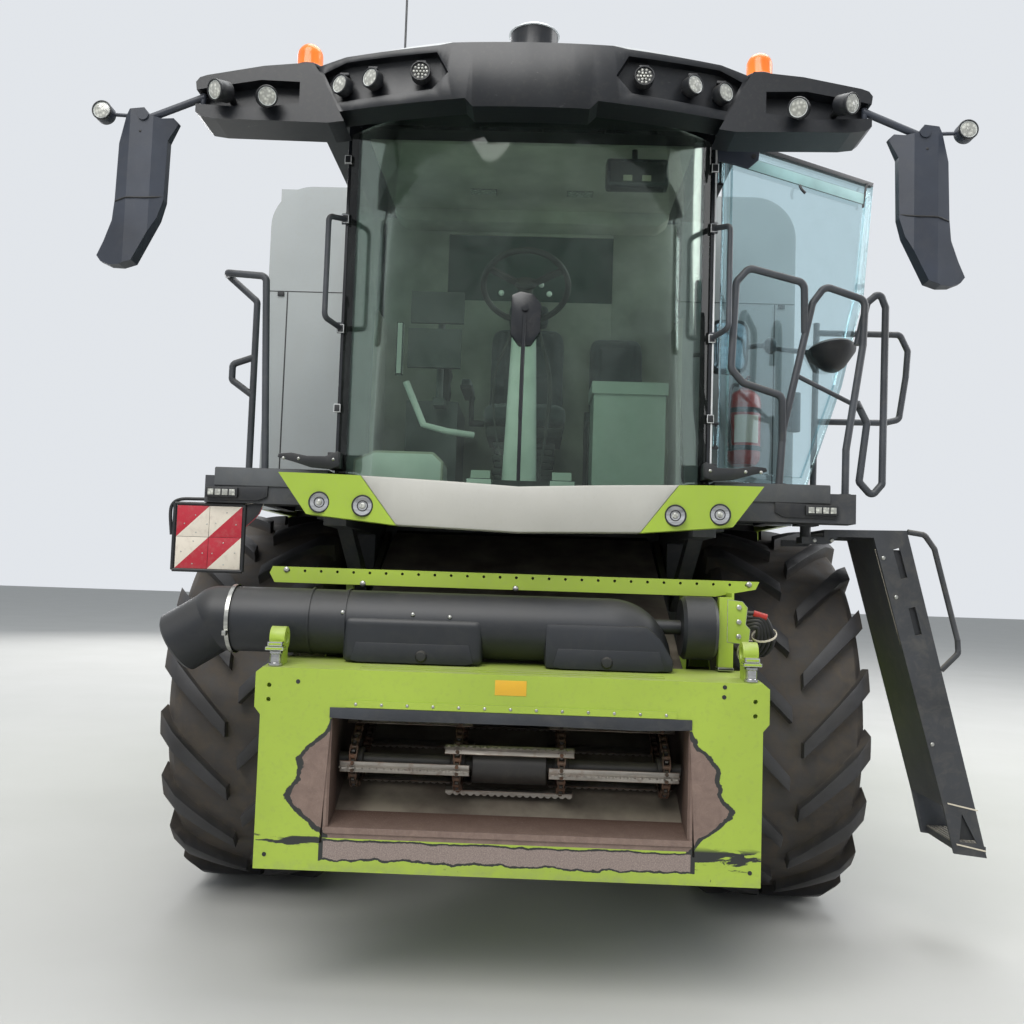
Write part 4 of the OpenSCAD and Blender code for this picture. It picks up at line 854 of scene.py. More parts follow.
s = Shape(FLAP)
s.plate([(-0.70, 1.128), (-0.70, 1.088), (-0.55, 1.083), (0.1, 1.085), (0.50, 1.080), (0.70, 1.088),
         (0.70, 1.128)], FRONT - 0.0055, FRONT - 0.0005, soft=0.001)
s.piece("mouth_flap", "feeder")

s = Shape(YELLOW)
s.block((-0.063, 0.059), (FRONT - 0.0016, FRONT), (1.196, 1.254), 0.0006)
s.piece("blank_plate", "feeder")

# Dark discs painted over the frame's holes as the shade inside them.
s = Shape(DARK_TRIM)
for x, z in ((-0.829, 1.222), (0.823, 1.257), (0.821, 1.219), (0.90, 0.62), (-0.93, 0.56), (0.93, 0.56)):
    s.lathe(disc(0.0085, 0.0012), (x, FRONT, z), (0, -1, 0), 16)
s.piece("hole_shade_discs", "feeder")

s = Shape(CHROME)
for side in (-1, 1):
    s.lathe([(0, 0), (0.024, 0), (0.027, 0.003), (0.027, 0.012), (0.021, 0.014), (0.021, 0.046),
             (0.026, 0.05), (0.026, 0.058), (0, 0.06)], (side * 0.93, -1.708, 1.276), (0, 0, 1), 24)
s.use(LIME_FRAME)
for side in (-1, 1):
    s.block(about(side * 0.93, 0.036), (-1.742, -1.69), (1.338, 1.352), 0.003)
    s.block(about(side * 0.93, 0.03), (-1.735, -1.70), (1.352, 1.372), 0.006)
s.piece("coupling_pins", "feeder")

# Conveyor: roller chains with slats across each pair, on a drum and sprockets

PITCH, RUN, HALF_TURN = 0.0381, 34, 8
LOOP_R = PITCH / 2 / math.sin(math.pi / (2 * HALF_TURN))
SLOPE = Matrix.Translation((0, -1.545, 0.896)) @ Matrix.Rotation(math.radians(28.06), 4, "X")
STRANDS = [-0.62 + i * 1.24 / 3 for i in range(4)]


def joint_at(i):
    """Joint i of the chain in the plane of its run, as (along, up)."""
    i %= 2 * (RUN + HALF_TURN)
    step = math.pi / HALF_TURN
    if i <= RUN:
        return Vector((i * PITCH, LOOP_R))
    if i <= RUN + HALF_TURN:
        a = (i - RUN) * step
        return Vector((RUN * PITCH + LOOP_R * math.sin(a), LOOP_R * math.cos(a)))
    if i <= 2 * RUN + HALF_TURN:
        return Vector(((2 * RUN + HALF_TURN - i) * PITCH, -LOOP_R))
    a = (i - 2 * RUN - HALF_TURN) * step
    return Vector((-LOOP_R * math.sin(a), -LOOP_R * math.cos(a)))


def frame_between(a, b):
    """Frame with y from joint a to joint b and z away from the sprockets."""
    start, end = joint_at(a), joint_at(b)
    angle = math.atan2(end.y - start.y, end.x - start.x)
    return SLOPE @ Matrix.Translation((0, start.x, start.y)) @ Matrix.Rotation(angle, 4, "X")


s = Shape(CHAIN)
link = [(PITCH / 2 + side * PITCH / 2 + 0.0115 * math.cos(a), 0.0115 * math.sin(a))
        for side, low in ((-1, 90), (1, -90)) for a in (math.radians(low + k * 45) for k in range(5))]
for x in STRANDS:
    for i in range(2 * (RUN + HALF_TURN)):
        at = frame_between(i, i + 1)
        gap, thick = (0.009, 0.003) if i % 2 else (0.0125, 0.003)
        for side in (-1, 1):
            a, b = sorted((x + side * gap, x + side * (gap + thick)))
            s.plate(link, a, b, "yz", 0, at)
        s.lathe([(0, -0.017), (0.0055, -0.017), (0.0055, -0.0085), (0.0095, -0.0085), (0.0095, 0.0085),
                 (0.0055, 0.0085), (0.0055, 0.017), (0, 0.017)], at @ Vector((x, 0, 0)), (1, 0, 0), 10)
s.use(STEEL)
for pair in range(3):
    x0, x1 = STRANDS[pair] - 0.05, STRANDS[pair + 1] + 0.05
    for i in range(1 + pair % 2, RUN + HALF_TURN, 3):
        at = frame_between(2 * i, 2 * i + 2)
        s.block((x0, x1), about(PITCH, 0.022), (0.013, 0.018), 0.0015, at)
        teeth = round((x1 - x0) / 0.029)
        edge = []
        for k in range(teeth):
            base = x1 - k * (x1 - x0) / teeth
            wide = (x1 - x0) / teeth
            edge += [(base, 0.033), (base - wide * 0.3, 0.040), (base - wide * 0.6, 0.040),
                     (base - wide * 0.9, 0.033)]
        s.plate([(x0, 0.013), (x1, 0.013)] + edge + [(x0, 0.033)], PITCH - 0.003, PITCH + 0.003, "xz", 0, at)
s.use(CHAIN)
for pair in range(3):
    for i in range(1 + pair % 2, RUN + HALF_TURN, 3):
        at = frame_between(2 * i, 2 * i + 2)
        for x in (STRANDS[pair], STRANDS[pair + 1]):
            for y in about(PITCH, 0.014):
                s.lathe(disc(0.008, 0.006), at @ Vector((x, y, 0.018)),
                        at.to_3x3() @ Vector((0, 0, 1)), 6)
            s.block(about(x, 0.02), about(PITCH, 0.02), (0.008, 0.0135), 0.001, at)
s.use(DRUM)
for y in (0.0, RUN * PITCH):
    mid = SLOPE @ Vector((0, y, 0))
    s.bar(mid + Vector((-0.6895, 0, 0)), mid + Vector((0.6895, 0, 0)), 0.03, 32)
    for x in STRANDS:
        wheel = []
        for k in range(2 * HALF_TURN):
            a = 2 * math.pi * (k + 0.5) / (2 * HALF_TURN)
            for off, r in ((-0.5, LOOP_R - 0.012), (-0.22, LOOP_R - 0.006), (-0.09, LOOP_R + 0.010),
                           (0.09, LOOP_R + 0.010), (0.22, LOOP_R - 0.006)):
                b = a + off * math.pi / HALF_TURN
                wheel.append((y + r * math.sin(b), r * math.cos(b)))
        s.plate(wheel, x - 0.006, x + 0.006, "yz", 0, SLOPE)
        s.bar(SLOPE @ Vector((x - 0.03, y, 0)), SLOPE @ Vector((x + 0.03, y, 0)), 0.05, 32)
mid = SLOPE @ Vector((0, 0, 0))
s.lathe([(0.03, -0.15), (0.07, -0.15), (0.075, -0.145), (0.075, 0.145), (0.07, 0.15), (0.03, 0.15)], mid,
        (1, 0, 0), 64)
s.piece("feeder_conveyor", "feeder", ["feed_conveyor"], smooth=35)

# Duct: tube that bends down into the frame at its +x end, with moulded intakes, a drum and its shaft
DUCT_Y, DUCT_Z = -1.44, 1.443
s = Shape(DUCT)
bend = [(0.40 + 0.118 * math.sin(a), DUCT_Y, 1.325 + 0.118 * math.cos(a))
        for a in (math.pi / 2 * k / 12 for k in range(13))]
straight = [(x, DUCT_Y, DUCT_Z) for x in (-1.24, -0.6, 0.3)]
s.tube(straight + bend + [(0.518, DUCT_Y, 1.296)], 0.135, 64)
s.ball((-1.24, DUCT_Y, DUCT_Z), 0.135, sides=64, steps=24)
s.bar((-1.24, DUCT_Y, DUCT_Z), (-1.42, DUCT_Y, 1.330), 0.131, 64)
for x in (-1.18, -0.85, -0.70):
    s.bar((x, DUCT_Y, DUCT_Z), (x + 0.014, DUCT_Y, DUCT_Z), 0.141, 64)
s.bar((0.69, DUCT_Y, 1.468), (0.833, DUCT_Y, 1.468), 0.131, 64, soft=0.014)
s.bar((0.50, DUCT_Y, 1.468), (0.70, DUCT_Y, 1.468), 0.03, 32)
s.block((-0.694, -0.126), (-1.5835, -1.40), (1.288, 1.474), 0.034, segments=5)
s.plate([(0.126, 1.288), (0.652, 1.288), (0.648, 1.34), (0.60, 1.42), (0.54, 1.474), (0.126, 1.474)],
        -1.5835, -1.40, soft=0.03)
s.piece("duct_body", "feeder", ["dust_duct"])

# Duct fittings
s = Shape(ZINC)
x = -1.182
s.lathe(corners(0.1412, 0.1445, 0, 0.016), (x, DUCT_Y, DUCT_Z), (1, 0, 0), 64, closed=True)
s.block((x, x + 0.016), (-1.605, -1.575), (1.38, 1.40), 0.002)
for x, z in ((-0.70, 1.49), (-0.413, 1.49), (-0.262, 1.485)):
    s.ball((x, -1.573, z), 0.008, 0.5, (0, -1, 0.3), 0, 12, 4)
s.use(DARK_TRIM)
for x in (-0.372, 0.378):
    s.lathe([(0, 0), (0.022, 0), (0.024, 0.004), (0.024, 0.012), (0.018, 0.02), (0, 0.022)],
            (x, -1.578, 1.322), (0, -1, 0), 20)
for x in (-0.6, 0.25, 0.52):
    s.lathe([(0, 0), (0.009, 0), (0.009, 0.006), (0, 0.007)], (x, -1.578, 1.36), (0, -1, 0), 6)
s.piece("duct_fittings", "feeder")

# Moulded ribs and seams of the duct's boxes
s = Shape(DUCT)
for x0, x1 in ((-0.66, -0.16), (0.16, 0.61)):
    s.plate([(x0, 1.30), (x0 + 0.02, 1.372), (x1 - 0.02, 1.372), (x1, 1.30), (x1 - 0.03, 1.292),
             (x0 + 0.03, 1.292)], -1.5865, -1.579, soft=0.003)
s.hose([(-0.12, -1.50, 1.478), (-0.02, -1.53, 1.47), (0.06, -1.53, 1.47), (0.13, -1.50, 1.478)], 0.012, 10)
s.piece("duct_ribs", "feeder")

# Guard bolts and the green drive guard beside the drum
s = Shape(ZINC)
for x, z in ((-0.002, 1.606), (-0.658, 1.606), (-0.99, 1.655), (0.99, 1.655)):
    s.ball((x, -1.361, z), 0.013, 0.6, (0, -1, 0), 0, 16, 5)
for z in (1.44, 1.50, 1.56):
    s.lathe([(0, 0), (0.011, 0), (0.011, 0.007), (0.008, 0.009), (0, 0.009)], (0.925, -1.482, z),
            (0, -1, 0), 6)
s.use(LIME_FRAME)
s.plate([(0.878, 1.415), (0.968, 1.405), (0.974, 1.47), (0.955, 1.49), (0.962, 1.56), (0.94, 1.585),
         (0.878, 1.592)], -1.482, -1.474, soft=0.002)
s.use(HOSE)
s.block((0.84, 0.905), (-1.5, -1.43), (1.299, 1.312), 0.003)
s.piece("guard_bolts", "feeder")

# Hoses that cross from the feeder to the machine
s = Shape(HOSE)
for i in range(5):
    off = (i - 2) * 0.018
    s.hose([(0.975, -1.40, 1.50 + off), (1.03 + off * 0.4, -1.42, 1.50 + off * 0.6),
            (1.055 + off, -1.38, 1.42), (1.035 + off, -1.22, 1.35), (0.99 + off * 0.5, -0.98, 1.42),
            (0.95, -0.75, 1.56 + off), (0.92, -0.5, 1.62 + off)], 0.0105, 10, steps=5)
s.use(LABEL)
for at, up in (((1.052, -1.39, 1.445), (0.3, 0.5, -1)), ((1.03, -1.18, 1.36), (-0.3, 1, 0.2))):
    s.lathe(corners(0.050, 0.053, -0.004, 0.004), at, up, 20, closed=True)
s.use(RED)
s.bar((1.0, -1.415, 1.535), (1.055, -1.42, 1.52), 0.014)
hoses = s.piece("feeder_hoses", None)
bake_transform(hoses)


# Warning board and lamps

s = Shape(BOARD)
mid_x, mid_z = (-1.583 - 1.283) / 2, (1.648 + 1.938) / 2
for x0, x1 in ((-1.584, mid_x - 0.0008), (mid_x + 0.0008, -1.282)):
    for z0, z1 in ((1.647, mid_z - 0.0008), (mid_z + 0.0008, 1.937)):
        s.block((x0, x1), (-1.0625, -1.0602), (z0, z1), 0.0006)
s.use(ZINC)
for u, v in ((-0.115, 0.06), (-0.06, 0.02), (-0.01, 0.06), (0.03, 0.065), (0.08, 0.115), (0.125, 0.06),
             (-0.065, 0.10), (-0.125, -0.07), (-0.07, -0.02), (-0.025, -0.075), (0.02, -0.075),
             (0.07, -0.025), (0.125, -0.07), (-0.07, -0.125), (0.075, -0.125)):
    s.ball((mid_x + u, -1.0625, mid_z + v), 0.0035, 0.5, (0, -1, 0), 0, 10, 3)
s.use(BLACK)
for x in (-1.5965, -1.2715):
    s.bar((x, -1.058, 1.638), (x, -1.058, 1.946), 0.0085)
for z in (1.6385, 1.9455):
    s.bar((-1.596, -1.058, z), (-1.272, -1.058, z), 0.0085)
s.plate([(-1.274, 1.952), (-1.182, 1.962), (-1.203, 1.908), (-1.228, 1.879), (-1.266, 1.843),
         (-1.274, 1.82)], -1.056, -1.050, soft=0.002)
s.hose([(-1.612, -1.045, 1.80), (-1.622, -1.045, 1.90), (-1.612, -1.045, 1.945), (-1.575, -1.045, 1.966),
        (-1.5, -1.05, 1.969), (-1.40, -1.06, 1.969)], 0.008, 12)
s.piece("board_sheets", "machine")


def lamp_face(s, centre, way, r, kind):
    """Rim, reflector and lens on a lamp's face, looking along way."""
    s.use(BLACK)
    s.lathe([(r * 0.86, -0.004), (r, -0.004), (r * 1.03, 0.004), (r * 0.98, 0.009), (r * 0.88, 0.009),
             (r * 0.86, 0.003)], centre, way, 40, closed=True)
    if kind == "led":
        s.use(DARK_TRIM)
        s.lathe(corners(0, r * 0.86, 0.0008, 0.002), centre, way, 32)
        turn = Vector(way).to_track_quat("Z", "Y").to_matrix()
        s.use(LENS)
        for reach, count in ((0, 1), (0.34, 6), (0.66, 10)):
            for a in angles(count):
                at = Vector(centre) + turn @ Vector((reach * r * math.cos(a), reach * r * math.sin(a), 0.002))
                s.ball(at, r * 0.135, 0.5, way, 0, 12, 3)
        return
    s.use(CHROME if kind == "spot" else PALE)
    s.lathe([(0, 0.0006), (r * 0.3, 0.0006), (r * 0.86, 0.0045)], centre, way, 40)
    s.use(LENS)
    s.lathe([(0, 0.0075), (r * 0.2, 0.0074), (r * 0.26, 0.0055), (r * 0.3, 0.001)], centre, way, 24)
    if kind == "spot":
        s.use(DARK_TRIM)
        s.lathe([(r * 0.42, 0.0022), (r * 0.47, 0.004), (r * 0.52, 0.0026)], centre, way, 32)
    else:
        s.use(LENS)
        s.lathe([(0, 0.0075), (r * 0.5, 0.0065), (r * 0.86, 0.0035)], centre, way, 32)


VISOR_FRONT, VISOR_R = -1.520, 4.0
BUMPER_MID_Y, BUMPER_R = 1.1, 2.6


def visor_y(x, deep):
    """Front of the roof's visor at a place across it, deep behind its face."""
    return VISOR_FRONT + VISOR_R - math.sqrt((VISOR_R - deep) ** 2 - x * x)


s = Shape(BLACK)
for side in (-1, 1):
    for x, z in ((0.863, 1.950), (0.664, 1.936)):
        y = BUMPER_MID_Y - math.sqrt(BUMPER_R ** 2 - x * x) - 0.004
        lamp_face(s, (side * x, y, z), (0, -1, 0), 0.046, "spot")
    for x, z, turn, kind in ((0.478, 3.800, 0, "led"), (0.692, 3.785, 30, "flood"),
                             (0.828, 3.766, 30, "flood")):
        a = math.radians(turn)
        x0 = x - 0.05 * math.sin(a)
        y0 = visor_y(x0, 0.045) - 0.006
        at = (side * (x0 + 0.062 * math.sin(a)), y0 - 0.062 * math.cos(a), z)
        lamp_face(s, at, (side * math.sin(a), -math.cos(a), 0), 0.043, kind)
    for a, b in (((1.318, -1.476, 3.708), (1.350, -1.530, 3.692)),
                 ((1.150, -1.476, 3.690), (1.128, -1.530, 3.668))):
        way = Vector(b) - Vector(a)
        lamp_face(s, (side * b[0], b[1], b[2]), (side * way.x, way.y, way.z), 0.044, "flood")
    lamp_face(s, (side * 1.863, -1.470, 3.618), (0, -1, 0), 0.042, "flood")
s.use(BLACK)
for side in (-1, 1):
    for x, z in ((0.478, 3.852), (0.692, 3.838), (0.82, 3.820)):
        y = visor_y(x, 0.045)
        s.block(about(side * x, 0.02), (y - 0.05, y + 0.005), about(z, 0.006), 0.002)
s.piece("lamp_faces", "machine")

# Light bars on the decks and foot brackets of the cab
s = Shape(BLACK)
for side in (-1, 1):
    s.plate([(side * 1.441, 2.026), (side * 1.161, 2.033), (side * 1.161, 1.986), (side * 1.204, 1.967),
             (side * 1.438, 1.964)], -1.092, -1.081, soft=0.002)
    s.block(about(side * 1.37, 0.074), (-1.108, -1.090), (1.978, 2.024), 0.004)
    s.plate([(side * 1.113, 2.186), (side * 1.118, 2.170), (side * 1.029, 2.146), (side * 0.962, 2.126),
             (side * 0.871, 2.120), (side * 0.831, 2.135), (side * 0.838, 2.206), (side * 0.898, 2.180),
             (side * 0.981, 2.179), (side * 1.056, 2.192)], -1.115, -1.100, soft=0.003)
    s.block(about(side * 0.86, 0.03), (-1.105, -0.995), (2.125, 2.20), 0.004)
s.use(LENS)
for side in (-1, 1):
    for i in range(4):
        x = side * 1.37 - 0.0495 + i * 0.033
        s.block(about(x, 0.0145), (-1.1105, -1.107), (1.986, 2.016), 0.0015)
s.use(ZINC)
for side in (-1, 1):
    for x in (0.86, 1.02, 1.09):
        s.ball((side * x, -1.115, 2.165), 0.008, 0.5, (0, -1, 0), 0, 10, 3)
s.piece("deck_lamps", "machine")

# Edge trims of the decks, and rubber mats
s = Shape(TRIM)
for side in (-1, 1):
    s.block(about(side * 1.15, 0.262), (-1.088, -1.0795), (2.034, 2.116), 0.003)
s.use(HOSE)
for side in (-1, 1):
    s.block(about(side * 1.13, 0.22), (-0.90, 0.22), (2.119, 2.124), 0.002)
s.piece("deck_trims", "machine")

# Seams, latches and edge strips of the grey panels beside the cab
s = Shape(DARK_TRIM)
for side in (-1, 1):
    a, b = sorted((side * 1.579, side * 0.90))
    s.block((a, b), (0.2485, 0.2502), (3.3275, 3.3325), 0.0004)
    s.block(about(side * 1.50, 0.02), (0.240, 0.2495), (3.30, 3.325), 0.003)
    s.block(about(side * 1.46, 0.004), (0.2488, 0.2502), (2.02, 3.325), 0.0004)
s.piece("panel_seams", "machine")

# Glass and screws of the mirrors, with the seam of the lower lobe
s = Shape(MIRROR_GLASS)
for side in (-1, 1):
    for pts in ([(1.602, 3.585), (1.775, 3.592), (1.786, 3.25), (1.60, 3.25)],
                [(1.60, 3.235), (1.786, 3.235), (1.80, 3.14), (1.838, 3.05), (1.865, 3.0), (1.80, 2.975),
                 (1.72, 2.985), (1.64, 3.12)]):
        s.plate([(side * x, z) for x, z in pts], -1.3718, -1.3695, soft=0.0008)
s.use(DARK_TRIM)
for side in (-1, 1):
    s.hose([(side * 1.592, -1.414, 3.262), (side * 1.646, -1.4465, 3.246), (side * 1.70, -1.449, 3.244),
            (side * 1.746, -1.4505, 3.242), (side * 1.80, -1.429, 3.232)], 0.0035, 8)
    for z in (3.46, 3.52):
        s.ball((side * 1.70, -1.4485, z + 0.08), 0.006, 0.4, (0, -1, 0), 0, 10, 3)
s.piece("mirror_glasses", "machine")


# Door, in its own frame: x across the pane, y away from the hinge, z up

SWING = Matrix.Translation((0.905, -0.985, 0)) @ Matrix.Rotation(math.radians(-59), 4, "Z")


def at_door(p):
    return SWING @ Vector(p)


s = Shape(BLACK)
s.plate([(0.03, 3.792), (1.04, 3.792), (1.035, 3.770), (0.03, 3.770)], -0.0135, 0.0135, "yz", 0.002, SWING)
s.use(BLIND)
s.plate(corners(0.09, 0.96, 3.715, 3.655), 0.014, 0.020, "yz", 0.002, SWING)
s.use(BLACK)
s.tube([at_door((0.017, 0.955, 3.64)), at_door((0.017, 0.975, 3.75)), at_door((0.017, 0.99, 3.775))],
       0.006, 8)
s.tube([at_door((0.017, 0.50, 3.655)), at_door((0.03, 0.50, 3.63)), at_door((0.04, 0.515, 3.61))], 0.007, 8)
s.block((-0.05, -0.012), (0.50, 0.56), (2.42, 2.62), 0.008, SWING)
s.use(CHROME)
s.plate(corners(0.02, 0.034, 2.15, 3.78), -0.0142, -0.0125, "yz", 0.0005, SWING)
s.piece("door_fittings", "cab_door")

s = Shape(MIRROR_SHELL)
s.plate([(0.874, 3.800), (1.088, 3.786), (1.076, 3.660), (1.030, 3.618), (0.885, 3.652)], -1.022, -1.008,
        soft=0.006)
s.use(DARK_TRIM)
for x, z in ((0.91, 3.755), (1.052, 3.675)):
    s.lathe([(0, 0), (0.012, 0), (0.012, 0.006), (0, 0.007)], (x, -1.022, z), (0, -1, 0), 6)
s.piece("hinge_plate", "machine")

# Bright strips down the pillars
s = Shape(PALE_TRIM)
s.block((0.8765, 0.884), (-1.004, -0.975), (2.16, 3.76), 0.001)
s.use(BLACK)
for side in (-1, 1):
    for z in (2.42, 2.80, 3.33, 3.62):
        s.block(about(side * 0.874, 0.016), (-1.014, -0.998), about(z, 0.02), 0.003)
s.piece("pillar_trims", "machine")


# Behind the door: mirror, convex mirror, extinguisher

s = Shape(BLACK)
outline = [(1.03 + 0.10 * squarish(math.cos(a), 0.45), 2.86 + 0.14 * squarish(math.sin(a), 0.45))
           for a in angles(40)]
s.plate(outline, -0.62, -0.565, soft=0.014)
s.hose([(1.12, -0.60, 2.86), (1.2, -0.61, 2.87), (1.3, -0.62, 2.85), (1.42, -0.62, 2.84)], 0.013, 12)
s.ball((1.24, -0.61, 2.87), 0.035, 1.3, (0, 0.2, 1), -90, 18, 8)
s.lathe([(0, 0), (0.11, -0.004), (0.125, 0.012), (0.12, 0.03), (0.06, 0.10), (0.03, 0.12), (0, 0.122)],
        (1.54, -0.62, 2.86), (0.1, -0.25, -1), 36)
s.tube([(1.42, -0.62, 2.84), (1.54, -0.60, 2.80)], 0.013, 12)
s.tube([(1.42, -0.62, 2.84), (1.50, -0.4, 2.84), (1.573, -0.21, 2.84)], 0.012, 12)
s.tube([(1.03, -0.565, 2.86), (1.03, -0.45, 2.86), (0.885, -0.40, 2.86)], 0.012, 12)
s.use(MIRROR_GLASS)
s.plate([(1.03 + (x - 1.03) * 0.86, 2.86 + (z - 2.86) * 0.86) for x, z in outline], -0.6225, -0.6205,
        soft=0.0005)
s.piece("step_mirrors", "machine")

s = Shape(RED)
cx, cy = 1.27, 0.1547
s.lathe([(0, 0), (0.07, 0.002), (0.092, 0.03), (0.0952, 0.05), (0.0952, 0.36), (0.09, 0.40), (0.06, 0.43),
         (0.03, 0.445), (0.028, 0.46), (0, 0.46)], (cx, cy, 2.345), (0, 0, 1), 48)
s.use(DARK_TRIM)
s.lathe([(0, 0), (0.03, 0), (0.03, 0.03), (0.02, 0.05), (0, 0.05)], (cx, cy, 2.80),
        (0, 0, 1), 20)
s.block((1.262, 1.278), (0.04, 0.17), (2.835, 2.85), 0.003)
s.hose([(1.24, 0.13, 2.81), (1.19, 0.10, 2.80), (1.172, 0.09, 2.70), (1.175, 0.085, 2.50),
        (1.185, 0.08, 2.42)], 0.01, 12)
for z in (2.44, 2.66):
    s.lathe(corners(0.0955, 0.0985, -0.014, 0.014), (cx, cy, z), (0, 0, 1), 48, closed=True)
s.use(ZINC)
s.ball((1.29, 0.115, 2.82), 0.014, 0.8, (0, -1, 0), -90, 14, 6)
s.use(LABEL)
rings = []
for i in range(17):
    a = math.radians(-135 + i * 90 / 16)
    rings.append([(cx + r * math.cos(a), cy + r * math.sin(a), z) for r, z in
                  ((0.0962, 2.47), (0.0962, 2.63), (0.0956, 2.63), (0.0956, 2.47))])
s.rings(rings)
s.piece("extinguisher_body", "machine", ["fire_extinguisher"])


# Ladder strips and rivets

s = Shape(LABEL)
for pts in ([(1.999, 0.690), (2.137, 0.662), (2.139, 0.655), (2.001, 0.683)],
            [(2.040, 0.508), (2.173, 0.481), (2.175, 0.474), (2.042, 0.501)]):
    s.plate(pts, -0.9535, -0.951, soft=0.0008)
s.use(ZINC)
for x, z in ((1.70, 1.80), (1.76, 1.62), (1.93, 0.95), (1.46, 1.875), (1.38, 1.872)):
    s.ball((x, -0.951, z), 0.010, 0.5, (0, -1, 0), 0, 12, 4)
# Black plate inside the stringer, behind its slots: painted shade seen through them.
s.use(BLACK)
s.plate([(1.665, 1.84), (1.805, 1.84), (2.16, 0.52), (2.03, 0.52)], -0.936, -0.931, soft=0.001)
s.use(FLAP)
s.plate([(2.00, 0.66), (2.118, 0.636), (2.172, 0.452), (2.036, 0.466)], -0.562, -0.550, soft=0.004)
for i in range(5):
    z = 0.465 + i * 0.29 + 0.030
    x = 1.657 + (1.893 - (z - 0.03)) * 0.2676
    for k in range(6):
        s.block((x + 0.02 + k * 0.019, x + 0.029 + k * 0.019), (-0.935, -0.565), (z, z + 0.004), 0.001)
s.piece("ladder_strips", "ladder")


# Inside of the cab

s = Shape(HEADLINER)
s.block((-0.78, 0.78), (-0.95, 0.10), (3.735, 3.7495), 0.003)
s.plate([(0.78, 3.70), (0.78, 3.745), (-0.78, 3.745), (-0.78, 3.70), (-0.72, 3.66), (0.72, 3.66)], -0.10,
        0.08, soft=0.02)
for x0, x1, z0, z1 in ((-0.85, -0.48, 2.03, 3.74), (0.48, 0.85, 2.03, 3.74), (-0.48, 0.48, 2.03, 3.26),
                       (-0.48, 0.48, 3.65, 3.74)):
    s.block((x0, x1), (0.084, 0.1005), (z0, z1), 0.004)
for side in (-1, 1):
    s.block(about(side * 0.835, 0.012), (-0.24, 0.09), (2.03, 3.10), 0.006)
s.use(DARK_TRIM)
s.block((-0.56, 0.56), (0.094, 0.099), (2.62, 2.66), 0.002)
s.use(PALE)
s.block((-0.80, 0.80), (-0.96, -0.93), (2.026, 2.075), 0.008)
s.plate([(-0.80, 2.075), (-0.80, 2.19), (-0.70, 2.235), (-0.42, 2.235), (-0.37, 2.19), (-0.37, 2.075)],
        -0.95, -0.72, soft=0.012)
s.piece("cab_lining", "machine")

# Column cover and its cables, and the hub and knobs of the wheel
s = Shape(PALE)
rings = []
for k in range(9):
    t = k / 8
    z = 2.06 + t * 0.86
    y = -0.905 + t * 0.085
    w = 0.085 - 0.028 * t
    rings.append([(-0.01 + w * squarish(math.cos(a), 0.6),
                   y - 0.012 + (w * 0.75) * squarish(math.sin(a), 0.6), z) for a in angles(24)])
s.rings(rings)
s.use(HOSE)
for x, bulge in ((-0.075, -0.07), (0.07, 0.055), (0.085, 0.03)):
    s.hose([(x * 0.7, -0.86, 2.88), (x + bulge, -0.87, 2.62), (x + bulge * 0.8, -0.90, 2.36),
            (x, -0.92, 2.12)], 0.006, 8)
s.use(DARK_TRIM)
s.lathe([(0, 0), (0.05, 0.002), (0.058, 0.014), (0.05, 0.03), (0, 0.034)], (-0.01, -0.775, 3.094),
        (0, -0.616, 0.788), 28)
s.use(PALE)
for a in (-0.9, 0.9, 2.6):
    s.ball((-0.01 + 0.15 * math.sin(a), -0.77 - 0.1 * math.cos(a), 3.08 - 0.06 * math.cos(a)), 0.014)
s.piece("column_cover", "machine")

# Wiper with its motor cover
s = Shape(GLOSS)
y = -1.354
cover = [(-0.075 + 0.015, 2.99), (-0.062, 3.09), (-0.02, 3.115), (0.035, 3.10), (0.072, 3.03),
         (0.07, 2.85), (0.03, 2.755), (-0.022, 2.75), (-0.062, 2.83)]
s.plate([(x, 2.651 + (z - 2.75) * 0.668) for x, z in cover], y - 0.030, y, soft=0.012)
s.tube([(0.0, y - 0.034, 2.79), (-0.004, y - 0.028, 2.60), (-0.006, y - 0.018, 2.34)], 0.009, 10)
s.block((-0.014, 0.002), (y - 0.016, y - 0.004), (2.07, 2.56), 0.002)
s.lathe([(0, 0), (0.016, 0), (0.016, 0.014), (0, 0.016)], (0.0, y - 0.03, 2.82), (0, -1, 0), 16)
s.piece("wiper", "machine")

# Screens on their arm, joystick, switch panel, overhead unit, ceiling lamps and pedals
s = Shape(SCREEN)
for x0, z0, z1 in ((-0.60, 2.700, 2.900), (-0.59, 2.930, 3.090)):
    s.block((x0 + 0.012, x0 + 0.258), (-0.6325, -0.6295), (z0 + 0.012, z1 - 0.012), 0.001)
s.use(PALE)
s.block((-0.66, -0.625), (-0.66, -0.62), (2.66, 2.93), 0.006)
s.tube([(-0.60, -0.66, 2.62), (-0.50, -0.70, 2.40), (-0.38, -0.70, 2.37), (-0.25, -0.66, 2.36)], 0.017, 10)
s.use(DARK_TRIM)
s.lathe([(0, 0), (0.022, 0), (0.03, 0.05), (0.024, 0.10), (0.035, 0.14), (0.028, 0.18), (0, 0.19)],
        (-0.42, -0.42, 2.56), (0, -0.15, 1), 20)
s.block((-0.60, -0.37), (-0.18, 0.04), (2.56, 2.60), 0.012)
s.use(RUSTY)
s.block((-0.43, -0.405), (-0.47, -0.455), (2.70, 2.73), 0.004)
s.use(DARK_TRIM)
s.block((0.36, 0.66), (-0.99, -0.90), (3.53, 3.67), 0.02)
s.tube([(0.5, -0.94, 3.66), (0.5, -0.92, 3.74)], 0.014, 10)
s.use(LABEL)
for x in (0.44, 0.53):
    s.block((x, x + 0.045), (-0.993, -0.989), (3.555, 3.585), 0.001)
s.use(LENS)
for x in (-0.26, 0.26):
    s.block(about(x, 0.07), (-0.40, -0.32), (3.7295, 3.7355), 0.002)
s.use(PALE)
s.block((-0.25, -0.13), (-1.118, -1.09), (2.06, 2.10), 0.004)
